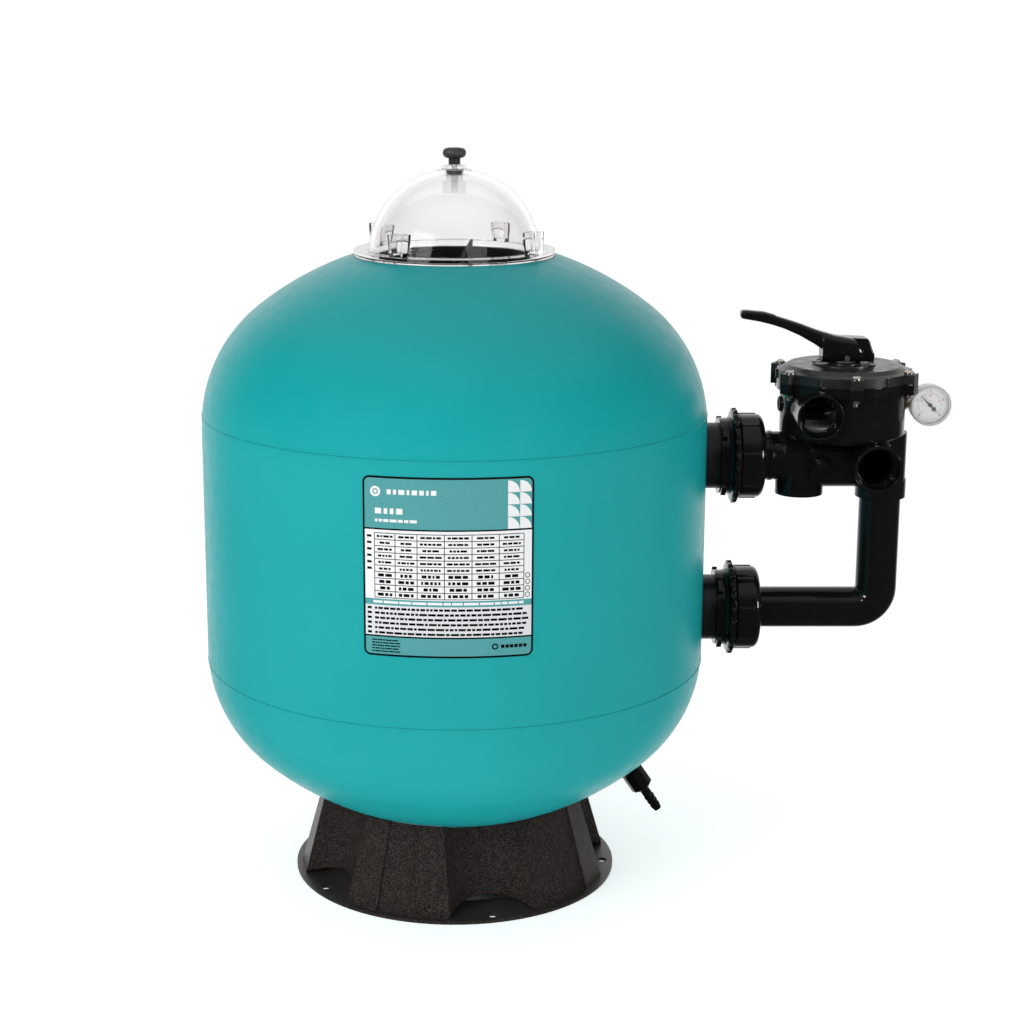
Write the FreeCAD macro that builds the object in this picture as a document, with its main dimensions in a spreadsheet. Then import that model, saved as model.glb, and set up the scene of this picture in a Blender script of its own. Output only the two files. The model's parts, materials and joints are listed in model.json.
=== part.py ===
import FreeCAD, Part
import math
import os
from types import SimpleNamespace

import Sketcher

# Side-mount sand filter for a swimming pool, built as an assembly of separate pieces.
# Frame: millimetres, +Z up, origin on the floor on the tank's axis, +X towards the selector
# valve and the two ports, the data plate faces -Y.

Vector = FreeCAD.Vector
doc = FreeCAD.newDocument("SandFilter")
sheet = doc.addObject("Spreadsheet::Sheet", "Dims")

# Driving dimensions: alias, value in millimetres (or degrees, or a count), meaning.
DIMENSIONS = [
    ("tank_radius", 305.0, "outside of the glass-fibre shell"),
    ("tank_wall", 6.0, "thickness of the shell"),
    ("shell_low", 289.6, "height of the lower tangent line"),
    ("shell_high", 568.0, "height of the upper tangent line"),
    ("top_knuckle", 178.5, "corner radius of the upper head"),
    ("top_crown", 384.0, "crown radius of the upper head"),
    ("low_knuckle", 163.7, "corner radius of the lower head"),
    ("low_crown", 374.4, "crown radius of the lower head"),
    ("seam_low", 279.5, "height of the lower moulding seam"),
    ("seam_high", 582.8, "height of the upper moulding seam"),
    ("seam_bead", 0.6, "half thickness of a moulding seam"),
    ("neck_height", 770.2, "flat face round the neck"),
    ("neck_radius", 113.0, "opening in the shell"),
    ("foot_radius", 200.5, "outer edge of the base flange"),
    ("foot_thick", 4.0, "thickness of the base flange"),
    ("skirt_foot", 195.0, "base skirt radius at the floor"),
    ("skirt_top", 165.0, "base skirt radius at its upper edge"),
    ("skirt_height", 108.0, "height of the base skirt"),
    ("skirt_wall", 5.0, "thickness of the base skirt"),
    ("flute_count", 5.0, "hollows round the skirt"),
    ("flute_azimuth", 14.0, "first hollow, from the front towards +X"),
    ("flute_chord", 104.0, "width of a hollow"),
    ("flute_depth", 30.0, "depth of a hollow"),
    ("panel_step", 2.5, "set-back of the middle panel"),
    ("bolt_circle", 187.0, "radius of the circle of floor bolts"),
    ("bolt_hole", 6.0, "radius of a floor bolt hole"),
    ("collar_bore", 98.3, "crest of the neck collar's thread"),
    ("lid_flange", 120.0, "lid flange radius"),
    ("lid_thick", 7.0, "lid flange thickness"),
    ("lid_gap", 0.3, "lid flange above the neck"),
    ("dome_radius", 103.0, "outside of the clear dome"),
    ("dome_centre", 770.0, "height of the dome's centre"),
    ("dome_wall", 7.0, "thickness of the dome"),
    ("post_circle", 108.0, "distance of a wrench post from the axis"),
    ("post_top", 803.0, "height of a wrench post"),
    ("post_wide", 22.0, "width of a wrench post at its top"),
    ("post_narrow", 17.2, "width of a wrench post at the flange"),
    ("post_wall", 2.4, "wall of a wrench post"),
    ("relief_seat", 871.0, "flat on top of the dome"),
    ("relief_body", 8.0, "radius of the relief valve's threaded neck"),
    ("relief_stem", 4.22, "radius of the relief stem"),
    ("knob_radius", 13.8, "relief knob"),
    ("port_high", 526.0, "height of the upper port"),
    ("port_low", 334.5, "height of the lower port"),
    ("port_thread", 36.0, "radius of the bulkhead thread"),
    ("port_bore", 24.0, "radius of the water way"),
    ("spacer_radius", 40.0, "sleeve between shell and clamp ring"),
    ("clamp_radius", 46.0, "clamp ring"),
    ("locknut_radius", 58.0, "knurled lock nut"),
    ("union_radius", 52.0, "union nut"),
    ("union_start", 343.8, "inner face of the union nut"),
    ("union_end", 374.0, "outer face of the union nut"),
    ("stub_radius", 29.5, "valve tail pipe"),
    ("pipe_radius", 25.0, "return pipe outside"),
    ("pipe_bore", 21.5, "return pipe inside"),
    ("riser_x", 520.6, "axis of the vertical leg of the return pipe"),
    ("inner_pipe", 24.0, "radius of the pipes inside the tank"),
    ("inner_bore", 20.5, "bore of the pipes inside the tank"),
    ("valve_x", 470.0, "axis of the selector valve"),
    ("bowl_radius", 75.0, "valve bowl outside"),
    ("bowl_bore", 66.0, "valve chamber"),
    ("bowl_low", 552.0, "underside of the bowl"),
    ("flange_low", 609.0, "underside of the bowl's flange"),
    ("parting", 622.0, "joint between bowl and cover"),
    ("cover_rim", 633.0, "top of the cover's flange"),
    ("cover_top", 639.0, "flat top of the cover"),
    ("screw_circle", 81.5, "radius of the circle of cover screws"),
    ("screw_radius", 3.0, "cover screw shank"),
    ("stem_radius", 12.95, "rotor stem"),
    ("dial_top", 641.2, "face that the thrust washer lies on"),
    ("washer_thick", 1.0, "thrust washer"),
    ("pivot_z", 648.0, "handle pivot"),
    ("cheek", 19.0, "half width of the handle's hub"),
    ("pin_radius", 3.0, "handle pin"),
    ("gauge_x", 574.0, "centre of the gauge, from the tank axis"),
    ("gauge_z", 590.0, "centre of the gauge, height"),
    ("gauge_radius", 25.0, "gauge case"),
    ("drain_angle", 55.7, "slope of the drain below the horizontal"),
]


class Dim:
    """A size that knows both its number and the spreadsheet expression behind it."""

    def __init__(self, value, text):
        self.value = value
        self.text = text

    def __add__(self, other):
        other = dim(other)
        return Dim(self.value + other.value, f"({self.text} + {other.text})")

    def __radd__(self, other):
        return dim(other) + self

    def __sub__(self, other):
        other = dim(other)
        return Dim(self.value - other.value, f"({self.text} - {other.text})")

    def __rsub__(self, other):
        return dim(other) - self

    def __mul__(self, other):
        other = dim(other)
        return Dim(self.value * other.value, f"({self.text} * {other.text})")

    def __rmul__(self, other):
        return dim(other) * self

    def __truediv__(self, other):
        other = dim(other)
        return Dim(self.value / other.value, f"({self.text} / {other.text})")

    def root(self):
        return Dim(math.sqrt(self.value), f"sqrt({self.text})")


def dim(size):
    """Give a plain number the same form as a size from the sheet."""
    if isinstance(size, Dim):
        return size
    return Dim(float(size), f"({float(size):.4f})")


def fill_sheet():
    """Write the driving dimensions to the sheet and return them by name."""
    sizes = SimpleNamespace()
    for row, (alias, value, meaning) in enumerate(DIMENSIONS, 1):
        sheet.set(f"A{row}", meaning)
        sheet.set(f"B{row}", str(value))
        sheet.setAlias(f"B{row}", alias)
        setattr(sizes, alias, Dim(value, f"Dims.{alias}"))
    doc.recompute()
    return sizes


D = fill_sheet()

UP = (0, 0, 1)
DOWN = (0, 0, -1)
ALONG_X = (1, 0, 0)
FRONT = (0, -1, 0)
BACK = (0, 1, 0)
ORIGIN = (0, 0, 0)
WHOLE_TURN = 360.0
EPS = 1e-4
PAST = 1.0   # how far a cutting tool runs past the face that it opens


# ---------------------------------------------------------------- helpers

def bind(obj, prop, size):
    """Tie a property to the sheet."""
    obj.setExpression(prop, dim(size).text)


def place(obj, base, direction=UP):
    """Point an object's own Z axis along a direction, with its origin at base."""
    turn = FreeCAD.Rotation(Vector(*UP), Vector(*direction))
    obj.Placement = FreeCAD.Placement(Vector(0, 0, 0), turn)
    for letter, size in zip("xyz", base):
        bind(obj, f"Placement.Base.{letter}", size)
    return obj


def primitive(kind, name, sizes, base, direction=UP):
    obj = doc.addObject(kind, name)
    obj.Label = name
    for prop, size in sizes.items():
        bind(obj, prop, size)
    return place(obj, base, direction)


def cylinder(name, radius, height, base=ORIGIN, direction=UP):
    return primitive("Part::Cylinder", name, {"Radius": radius, "Height": height}, base, direction)


def cone(name, radius_1, radius_2, height, base=ORIGIN, direction=UP):
    sizes = {"Radius1": radius_1, "Radius2": radius_2, "Height": height}
    return primitive("Part::Cone", name, sizes, base, direction)


def torus(name, major, minor, base=ORIGIN, direction=UP):
    return primitive("Part::Torus", name, {"Radius1": major, "Radius2": minor}, base, direction)


def sphere(name, radius, base=ORIGIN):
    return primitive("Part::Sphere", name, {"Radius": radius}, base)


def hexagon(name, radius, height, base=ORIGIN, direction=UP):
    obj = primitive("Part::Prism", name, {"Circumradius": radius, "Height": height}, base, direction)
    obj.Polygon = 6
    return obj


def block(name, low, high):
    """A box between two opposite corners."""
    sizes = {}
    for prop, start, stop in zip(("Length", "Width", "Height"), low, high):
        sizes[prop] = dim(stop) - start
    return primitive("Part::Box", name, sizes, low)


def fuse(name, pieces):
    obj = doc.addObject("Part::MultiFuse", name)
    obj.Label = name
    obj.Shapes = pieces
    return obj


def fuse_in_turn(name, pieces):
    """Fuse one piece after another, for a solid that is too busy to fuse in one step."""
    whole = pieces[0]
    for number, piece in enumerate(pieces[1:], 1):
        obj = doc.addObject("Part::Fuse", f"{name}_{number}")
        obj.Base = whole
        obj.Tool = piece
        whole = obj
    return whole


def cut(name, piece, tools):
    tool = tools[0] if len(tools) == 1 else fuse(f"{name}_tools", tools)
    obj = doc.addObject("Part::Cut", name)
    obj.Label = name
    obj.Base = piece
    obj.Tool = tool
    return obj


def common(name, pieces):
    obj = doc.addObject("Part::MultiCommon", name)
    obj.Label = name
    obj.Shapes = pieces
    return obj


def group(name, solids):
    """Several separate solids of one kind, kept apart in one node."""
    obj = doc.addObject("Part::Compound", name)
    obj.Label = name
    obj.Links = solids
    return obj


def feature(name, shape, base=ORIGIN, direction=UP):
    """A shape made with Part's own functions, where no primitive or sketch fits."""
    obj = doc.addObject("Part::Feature", name)
    obj.Label = name
    obj.Shape = shape
    return place(obj, base, direction)


def origin_plane(body, role):
    return next(item for item in body.Origin.OriginFeatures if item.Role == role)


def arc_geometry(start, stop, centre, radius):
    """The shorter arc about a centre, and which of its ends is the start."""
    first = math.atan2(start[1] - centre[1], start[0] - centre[0])
    last = math.atan2(stop[1] - centre[1], stop[0] - centre[0])
    swept = (last - first) % (2 * math.pi)
    forward = swept < math.pi
    if not forward:
        first, last = last, first
    circle = Part.Circle(Vector(centre[0], centre[1], 0), Vector(0, 0, 1), radius)
    if last < first:
        last += 2 * math.pi
    return Part.ArcOfCircle(circle, first, last), forward


def turned(name, corners, arcs=None, base=ORIGIN, direction=UP):
    """A PartDesign body turned from a closed outline of (radius, height) corners.

    arcs maps a corner's number to (centre radius, centre height, arc radius) where the
    stretch from that corner to the next is round.
    """
    arcs = arcs or {}
    body = doc.addObject("PartDesign::Body", name)
    body.Label = name
    sketch = body.newObject("Sketcher::SketchObject", f"{name}_outline")
    sketch.AttachmentSupport = [(origin_plane(body, "XZ_Plane"), "")]
    sketch.MapMode = "FlatFace"
    corners = [(dim(x), dim(z)) for x, z in corners]
    points = [(x.value, z.value) for x, z in corners]
    geometry = []
    ends = []
    for number, start in enumerate(points):
        stop = points[(number + 1) % len(points)]
        if number in arcs:
            centre_x, centre_z, radius = [dim(size) for size in arcs[number]]
            arc, forward = arc_geometry(start, stop, (centre_x.value, centre_z.value), radius.value)
            geometry.append(arc)
            ends.append((1, 2) if forward else (2, 1))
        else:
            geometry.append(Part.LineSegment(Vector(*start, 0), Vector(*stop, 0)))
            ends.append((1, 2))
    sketch.addGeometry(geometry)
    for number in range(len(points)):
        after = (number + 1) % len(points)
        sketch.addConstraint(
            Sketcher.Constraint("Coincident", number, ends[number][1], after, ends[after][0]))
    for number, (x, z) in enumerate(corners):
        end = ends[number][0]
        if abs(x.value) < EPS:
            sketch.addConstraint(Sketcher.Constraint("PointOnObject", number, end, -2))
        else:
            index = sketch.addConstraint(
                Sketcher.Constraint("DistanceX", -1, 1, number, end, x.value))
            sketch.setExpression(f"Constraints[{index}]", x.text)
        index = sketch.addConstraint(Sketcher.Constraint("DistanceY", -1, 1, number, end, z.value))
        sketch.setExpression(f"Constraints[{index}]", z.text)
    for number, (_, _, radius) in arcs.items():
        radius = dim(radius)
        index = sketch.addConstraint(Sketcher.Constraint("Radius", number, radius.value))
        sketch.setExpression(f"Constraints[{index}]", radius.text)
    turn = body.newObject("PartDesign::Revolution", f"{name}_turn")
    turn.Profile = sketch
    turn.ReferenceAxis = (sketch, ["V_Axis"])
    turn.Angle = WHOLE_TURN
    sketch.Visibility = False
    body.Tip = turn
    return place(body, base, direction)


def ring(name, inner, outer, low, high, base=ORIGIN, direction=UP):
    corners = [(inner, low), (outer, low), (outer, high), (inner, high)]
    return turned(name, corners, base=base, direction=direction)


def polar(radius, degrees):
    """A point at a distance from the Z axis, at an angle from +X towards +Y."""
    angle = math.radians(degrees)
    radius = dim(radius)
    return radius * math.cos(angle), radius * math.sin(angle)


# ---------------------------------------------------------------- tank

def head_rise(crown, knuckle):
    """Height from the crown's centre to the knuckle's centre in a dished head."""
    span = crown - knuckle
    side = D.tank_radius - knuckle
    return (span * span - side * side).root()


def head_join(crown, knuckle, shrink):
    """Where crown meets knuckle, as a radius and a height above the crown's centre."""
    share = (crown - shrink) / (crown - knuckle)
    return (D.tank_radius - knuckle) * share, head_rise(crown, knuckle) * share


CROWN_HIGH = D.shell_high - head_rise(D.top_crown, D.top_knuckle)
CROWN_LOW = D.shell_low + head_rise(D.low_crown, D.low_knuckle)


def crown_radius_at(height, crown, centre):
    drop = height - centre
    return (crown * crown - drop * drop).root()


def shell_blank():
    top_side = D.tank_radius - D.top_knuckle
    low_side = D.tank_radius - D.low_knuckle
    inner_top = D.top_crown - D.tank_wall
    inner_low = D.low_crown - D.tank_wall
    out_top_x, out_top_z = head_join(D.top_crown, D.top_knuckle, 0)
    in_top_x, in_top_z = head_join(D.top_crown, D.top_knuckle, D.tank_wall)
    out_low_x, out_low_z = head_join(D.low_crown, D.low_knuckle, 0)
    in_low_x, in_low_z = head_join(D.low_crown, D.low_knuckle, D.tank_wall)
    neck_under = CROWN_HIGH + (inner_top * inner_top - D.neck_radius * D.neck_radius).root()
    corners = [
        (D.neck_radius, D.neck_height),
        (crown_radius_at(D.neck_height, D.top_crown, CROWN_HIGH), D.neck_height),
        (out_top_x, CROWN_HIGH + out_top_z),
        (D.tank_radius, D.shell_high),
        (D.tank_radius, D.shell_low),
        (out_low_x, CROWN_LOW - out_low_z),
        (0, CROWN_LOW - D.low_crown),
        (0, CROWN_LOW - inner_low),
        (in_low_x, CROWN_LOW - in_low_z),
        (D.tank_radius - D.tank_wall, D.shell_low),
        (D.tank_radius - D.tank_wall, D.shell_high),
        (in_top_x, CROWN_HIGH + in_top_z),
        (D.neck_radius, neck_under),
    ]
    arcs = {
        1: (0, CROWN_HIGH, D.top_crown),
        2: (top_side, D.shell_high, D.top_knuckle),
        4: (low_side, D.shell_low, D.low_knuckle),
        5: (0, CROWN_LOW, D.low_crown),
        7: (0, CROWN_LOW, inner_low),
        8: (low_side, D.shell_low, D.low_knuckle - D.tank_wall),
        10: (top_side, D.shell_high, D.top_knuckle - D.tank_wall),
        11: (0, CROWN_HIGH, inner_top),
    }
    return turned("shell_blank", corners, arcs)


def seam(name, height, tangent, knuckle):
    """A fine raised moulding seam round the knuckle of a head."""
    rise = height - tangent
    radius = D.tank_radius - knuckle + (knuckle * knuckle - rise * rise).root()
    return torus(name, radius, D.seam_bead, (0, 0, height))


DRAIN_AXIS = (
    math.cos(math.radians(D.drain_angle.value)), 0, -math.sin(math.radians(D.drain_angle.value)))
DRAIN_CENTRE = (0, 0, CROWN_LOW)
DRAIN_THREAD = 9.0
PORT_CLEARANCE = 0.2


def tank_shell():
    blank = fuse("shell_with_seams", [
        shell_blank(),
        seam("seam_upper", D.seam_high, D.shell_high, D.top_knuckle),
        seam("seam_lower", D.seam_low, D.shell_low, D.low_knuckle),
    ])
    depth = 60.0
    start = D.tank_radius - depth / 2
    hole = D.port_thread + PORT_CLEARANCE
    return cut("tank_shell", blank, [
        cylinder("shell_port_high", hole, depth, (start, 0, D.port_high), ALONG_X),
        cylinder("shell_port_low", hole, depth, (start, 0, D.port_low), ALONG_X),
        cylinder("shell_drain", DRAIN_THREAD, D.low_crown + depth, DRAIN_CENTRE, DRAIN_AXIS),
    ])


def data_plate():
    """A thin plate wrapped on the front of the shell; its print is left to the finish."""
    thick = 0.5
    wide_from, wide_to = -98.5, 85.5
    low, high = 362.8, 565.2
    outer = cylinder("plate_outer", D.tank_radius + thick, high - low, (0, 0, low))
    inner = cylinder("plate_inner", D.tank_radius, high - low + 2 * PAST, (0, 0, low - PAST))
    sleeve = cut("plate_sleeve", outer, [inner])
    window = block("plate_window", (wide_from, -D.tank_radius.value - PAST, low), (wide_to, 0, high))
    return common("data_plate", [sleeve, window])


# ---------------------------------------------------------------- base

def skirt_section(height, inset, step):
    """One closed outline of the skirt at a height: flutes as arcs, panels as chords."""
    share = height / D.skirt_height.value
    outer = D.skirt_foot.value + (D.skirt_top.value - D.skirt_foot.value) * share
    half = math.degrees(math.asin(D.flute_chord.value / 2 / outer))
    radius = outer - inset
    count = int(D.flute_count.value)
    pitch = WHOLE_TURN / count
    panel = (pitch - 2 * half) / 3
    narrow = inset * math.tan(math.radians(35))
    edges = []

    def point(distance, degrees):
        angle = math.radians(degrees - 90)
        return Vector(distance * math.cos(angle), distance * math.sin(angle), height)

    corners = []
    for number in range(count):
        middle = D.flute_azimuth.value + number * pitch
        spread = math.degrees(narrow / radius)
        first = point(radius, middle - half - spread)
        last = point(radius, middle + half + spread)
        bottom = point(outer * math.cos(math.radians(half)) - D.flute_depth.value - inset, middle)
        corners.append((first, bottom, last, middle))
    for number, (first, bottom, last, middle) in enumerate(corners):
        edges.append(Part.Arc(first, bottom, last).toShape())
        step_from = middle + half + panel
        step_to = step_from + panel
        chain = [last, point(radius, step_from)]
        if step > 0:
            chain += [point(radius - step, step_from), point(radius - step, step_to)]
        else:
            chain += [point(radius, step_to)]
        if step > 0:
            chain.append(point(radius, step_to))
        chain.append(corners[(number + 1) % count][0])
        for start, stop in zip(chain, chain[1:]):
            edges.append(Part.LineSegment(start, stop).toShape())
    return Part.Wire(edges)


def base_skirt():
    """Moulded stand: fluted hollow skirt on a thin flange, cradling the lower head."""
    height = D.skirt_height.value
    outer = Part.makeLoft(
        [skirt_section(0, 0, D.panel_step.value), skirt_section(height, 0, D.panel_step.value)],
        True, True)
    inner = Part.makeLoft(
        [skirt_section(-PAST, D.skirt_wall.value, 0),
         skirt_section(height + PAST, D.skirt_wall.value, 0)],
        True, True)
    skirt = feature("skirt_blank", outer.cut(inner))
    inner_rim = 140.0
    flange = cut("foot_ring", cylinder("foot_disc", D.foot_radius, D.foot_thick), [
        cylinder("foot_hole", inner_rim, D.foot_thick + 2 * PAST, (0, 0, -PAST))])
    arches = []
    bolts = []
    arch_radius = 123.0
    arch_peak = 17.0
    arch_start = 110.0
    arch_length = 120.0
    for number in range(int(D.flute_count.value)):
        degrees = D.flute_azimuth.value + number * WHOLE_TURN / D.flute_count.value - 90
        toward = (math.cos(math.radians(degrees)), math.sin(math.radians(degrees)), 0)
        start_x, start_y = polar(arch_start, degrees)
        arches.append(cylinder(f"arch_{number}", arch_radius, arch_length,
                               (start_x, start_y, arch_peak - arch_radius), toward))
        hole_x, hole_y = polar(D.bolt_circle, degrees)
        bolts.append(cylinder(f"bolt_{number}", D.bolt_hole, 3 * D.foot_thick,
                              (hole_x, hole_y, D.foot_thick * -1)))
    opened = cut("skirt_opened", skirt, arches)
    cradle_gap = 0.2
    cradle = sphere("cradle", D.low_crown + cradle_gap, (0, 0, CROWN_LOW))
    return cut("base_skirt", fuse("base_blank", [opened, flange]), bolts + [cradle])


# ---------------------------------------------------------------- neck and lid

LID_LOW = D.neck_height + D.lid_gap
LID_TOP = LID_LOW + D.lid_thick
SEAL_CIRCLE = 105.0


def neck_collar():
    """Threaded ring bonded into the neck, with a groove for the lid seal."""
    flange_top = 762.5
    low = 742.0
    groove = 2.6
    groove_floor = D.neck_height - 4.2
    corners = [
        (D.collar_bore, low),
        (D.neck_radius + 10, low),
        (D.neck_radius + 10, flange_top),
        (D.neck_radius, flange_top),
        (D.neck_radius, D.neck_height),
        (SEAL_CIRCLE + groove, D.neck_height),
        (SEAL_CIRCLE + groove, groove_floor),
        (SEAL_CIRCLE - groove, groove_floor),
        (SEAL_CIRCLE - groove, D.neck_height),
        (D.collar_bore, D.neck_height),
    ]
    return turned("neck_collar", corners)


def lid_seal():
    return torus("lid_seal", SEAL_CIRCLE, 1.9, (0, 0, D.neck_height - 1.85))


def wrench_post(number, degrees):
    """A tapered hollow socket on the lid flange, open at the top."""
    height = D.post_top - LID_TOP
    deep = 16.0

    def tapered(name, inset, low):
        foot = D.post_narrow - 2 * inset
        head = D.post_wide - 2 * inset
        depth = deep - 2 * inset
        wedge = doc.addObject("Part::Wedge", name)
        wedge.Label = name
        for prop, size in (
                ("Xmin", foot * -0.5), ("Xmax", foot * 0.5), ("X2min", head * -0.5),
                ("X2max", head * 0.5), ("Ymin", low), ("Ymax", height + (PAST if inset else 0)),
                ("Zmin", depth * -0.5), ("Zmax", depth * 0.5), ("Z2min", depth * -0.5),
                ("Z2max", depth * 0.5)):
            bind(wedge, prop, size)
        lift = FreeCAD.Rotation(Vector(1, 0, 0), 90)
        spin = FreeCAD.Rotation(Vector(0, 0, 1), degrees + 90)
        wedge.Placement = FreeCAD.Placement(Vector(0, 0, 0), spin * lift)
        x, y = polar(D.post_circle, degrees)
        for letter, size in zip("xyz", (x, y, LID_TOP)):
            bind(wedge, f"Placement.Base.{letter}", size)
        return wedge

    return cut(f"post_{number}", tapered(f"post_{number}_outer", 0, 0),
               [tapered(f"post_{number}_inner", D.post_wall, 4)])


def lid_dome():
    inner = D.dome_radius - D.dome_wall
    spigot_low = 748.0
    spigot_out = D.collar_bore - 0.4
    spigot_in = 91.0
    hole = D.relief_body + 0.3
    ledge = LID_LOW + 0.5
    corners = [
        (spigot_in, spigot_low),
        (spigot_out, spigot_low),
        (spigot_out, LID_LOW),
        (D.lid_flange, LID_LOW),
        (D.lid_flange, LID_TOP),
        (crown_radius_at(LID_TOP, D.dome_radius, D.dome_centre), LID_TOP),
        (crown_radius_at(D.relief_seat, D.dome_radius, D.dome_centre), D.relief_seat),
        (hole, D.relief_seat),
        (hole, D.dome_centre + (inner * inner - hole * hole).root()),
        (crown_radius_at(ledge, inner, D.dome_centre), ledge),
        (spigot_in, ledge),
    ]
    arcs = {5: (0, D.dome_centre, D.dome_radius), 8: (0, D.dome_centre, inner)}
    blank = turned("dome_blank", corners, arcs)
    posts = [wrench_post(number, degrees) for number, degrees in enumerate((-32, -126, 148, 56))]
    shell = fuse("lid_fused", [blank] + posts)
    clear = sphere("dome_clear", inner, (0, 0, D.dome_centre))
    above = block("dome_clear_above", (-200, -200, ledge), (200, 200, 900))
    return cut("lid_dome", shell, [common("dome_hollow", [clear, above])])


# ---------------------------------------------------------------- air relief

STEM_RUN = 0.08
STEM_LOW = 850.0


def relief_body():
    boss = 14.0
    low, step = 843.0, 857.0
    shoulder = D.dome_centre + D.dome_radius - D.dome_wall - 0.5
    bore = D.relief_stem + STEM_RUN
    corners = [
        (bore, low), (boss, low), (boss, step), (D.relief_body + 2, step),
        (D.relief_body + 2, shoulder - 1.5), (D.relief_body, shoulder - 1.5),
        (D.relief_body, D.relief_seat + 5.2), (bore, D.relief_seat + 5.2)]
    return turned("relief_body", corners)


def relief_nut():
    """Five-lobed clear nut that clamps the relief body to the dome."""
    disc = ring("relief_nut_disc", D.relief_body, 11.5, D.relief_seat, D.relief_seat + 5)
    lobes = []
    for number in range(5):
        x, y = polar(11.0, 18 + number * 72)
        lobes.append(cylinder(f"relief_lobe_{number}", 4.0, 5, (x, y, D.relief_seat)))
    solid = fuse("relief_nut_blank", [disc] + lobes)
    hole = cylinder("relief_nut_hole", D.relief_body, 8, (0, 0, D.relief_seat - PAST))
    return cut("relief_nut", solid, [hole])


def relief_knob():
    """Knob with its stem in one piece; eight soft flats round the head."""
    under = D.relief_seat + 5.7
    head_low, head_high = 884.2, 896.5
    groove_low, groove_high = 856.0, 857.6
    groove_radius = 3.0
    corners = [
        (0, STEM_LOW), (D.relief_stem, STEM_LOW), (D.relief_stem, groove_low),
        (groove_radius, groove_low), (groove_radius, groove_high), (D.relief_stem, groove_high),
        (D.relief_stem, under), (7.5, under), (7.5, head_low), (10.5, head_low),
        (D.knob_radius, head_low + 4), (D.knob_radius - 0.6, head_low + 7.5), (8, head_high), (0, head_high)]
    blank = turned("knob_blank", corners)
    notches = []
    for number in range(8):
        x, y = polar(D.knob_radius + 5.2, number * 45)
        notches.append(cylinder(f"knob_notch_{number}", 6.0, 20, (x, y, head_low - PAST)))
    return cut("relief_knob", blank, notches)


def relief_seal():
    return torus("relief_seal", 3.62, 0.55, (0, 0, 856.8))


# ---------------------------------------------------------------- ports

def on_axis(height):
    """A point on the tank's axis."""
    return (0, 0, height)


GASKET_RADIUS = 45.0
SLEEVE_END = 320.5
CLAMP_END = 330.5
LOCKNUT_END = 343.4
BULKHEAD_END = 358.0
TAIL_START = 358.5      # face of the collars that the union nuts hold
UNION_SEAL_RADIUS = 1.5


def port_parts(side, height, tail_radius):
    """The bulkhead fitting through the shell at one port, its pieces by name.

    Lengths along X are measured from the tank's axis, because the parts are turned about
    the port's own axis.
    """
    base = on_axis(height)
    thread = D.port_thread
    flange_in, flange_out = 280.0, 288.0
    seal_circle, groove_half, groove_deep = 30.0, 1.7, 3.0
    seal_floor = BULKHEAD_END - groove_deep
    bulkhead = turned(f"{side}_bulkhead", [
        (D.port_bore, flange_in), (GASKET_RADIUS, flange_in), (GASKET_RADIUS, flange_out),
        (thread, flange_out), (thread, BULKHEAD_END),
        (seal_circle + groove_half, BULKHEAD_END), (seal_circle + groove_half, seal_floor),
        (seal_circle - groove_half, seal_floor), (seal_circle - groove_half, BULKHEAD_END),
        (D.port_bore, BULKHEAD_END)], base=base, direction=ALONG_X)
    reach = 120.0
    wall_low = (0, 0, height - reach / 2)
    pad = ring(f"{side}_pad", thread, GASKET_RADIUS, flange_out, D.tank_radius, base, ALONG_X)
    inside = cylinder(f"{side}_inside", D.tank_radius - D.tank_wall, reach, wall_low)
    shell = cylinder(f"{side}_shell", D.tank_radius, reach, wall_low)
    sleeve = ring(f"{side}_sleeve", thread, D.spacer_radius, D.tank_radius - D.tank_wall,
                  SLEEVE_END, base, ALONG_X)
    return {
        "bulkhead": bulkhead,
        "inner_gasket": common(f"{side}_inner_gasket", [pad, inside]),
        "spacer": cut(f"{side}_spacer", sleeve, [shell]),
        "clamp_ring": clamp_ring(side, base, SLEEVE_END, CLAMP_END),
        "locknut": lock_nut(side, base, CLAMP_END, LOCKNUT_END),
        "union_seal": torus(f"{side}_union_seal", seal_circle, UNION_SEAL_RADIUS,
                            (BULKHEAD_END - UNION_SEAL_RADIUS + 0.1, 0, height), ALONG_X),
        "union_nut": union_nut(side, base, tail_radius),
    }


def ports():
    """Both ports: what moves or carries pipe alone, identical pieces as groups of two."""
    upper = port_parts("upper", D.port_high, D.stub_radius)
    lower = port_parts("lower", D.port_low, D.pipe_radius)
    parts = []
    for kind in ("bulkhead", "union_nut"):
        parts += [upper[kind], lower[kind]]
    for kind in ("inner_gasket", "spacer", "clamp_ring", "locknut", "union_seal"):
        parts.append(group(f"port_{kind}s", [upper[kind], lower[kind]]))
    return parts


def clamp_ring(side, base, start, stop):
    """Clamp ring with four wrench lugs."""
    disc = ring(f"{side}_clamp_disc", D.port_thread, D.clamp_radius, start, stop, base, ALONG_X)
    lugs_round = [disc]
    root = 38.0
    reach = 6.5
    half = 8.0
    height = base[2]
    for number in range(4):
        lug = block(f"{side}_lug_{number}", (start + 1, -half, root),
                    (stop - 3, half, D.clamp_radius + reach))
        turn = FreeCAD.Rotation(Vector(1, 0, 0), 45 + number * 90)
        corner = turn.multVec(Vector(0, -half, root))
        lug.Placement = FreeCAD.Placement(Vector(0, 0, 0), turn)
        bind(lug, "Placement.Base.x", start + 1)
        bind(lug, "Placement.Base.y", corner.y)
        bind(lug, "Placement.Base.z", height + corner.z)
        lugs_round.append(lug)
    return fuse(f"{side}_clamp_ring", lugs_round)


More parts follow.
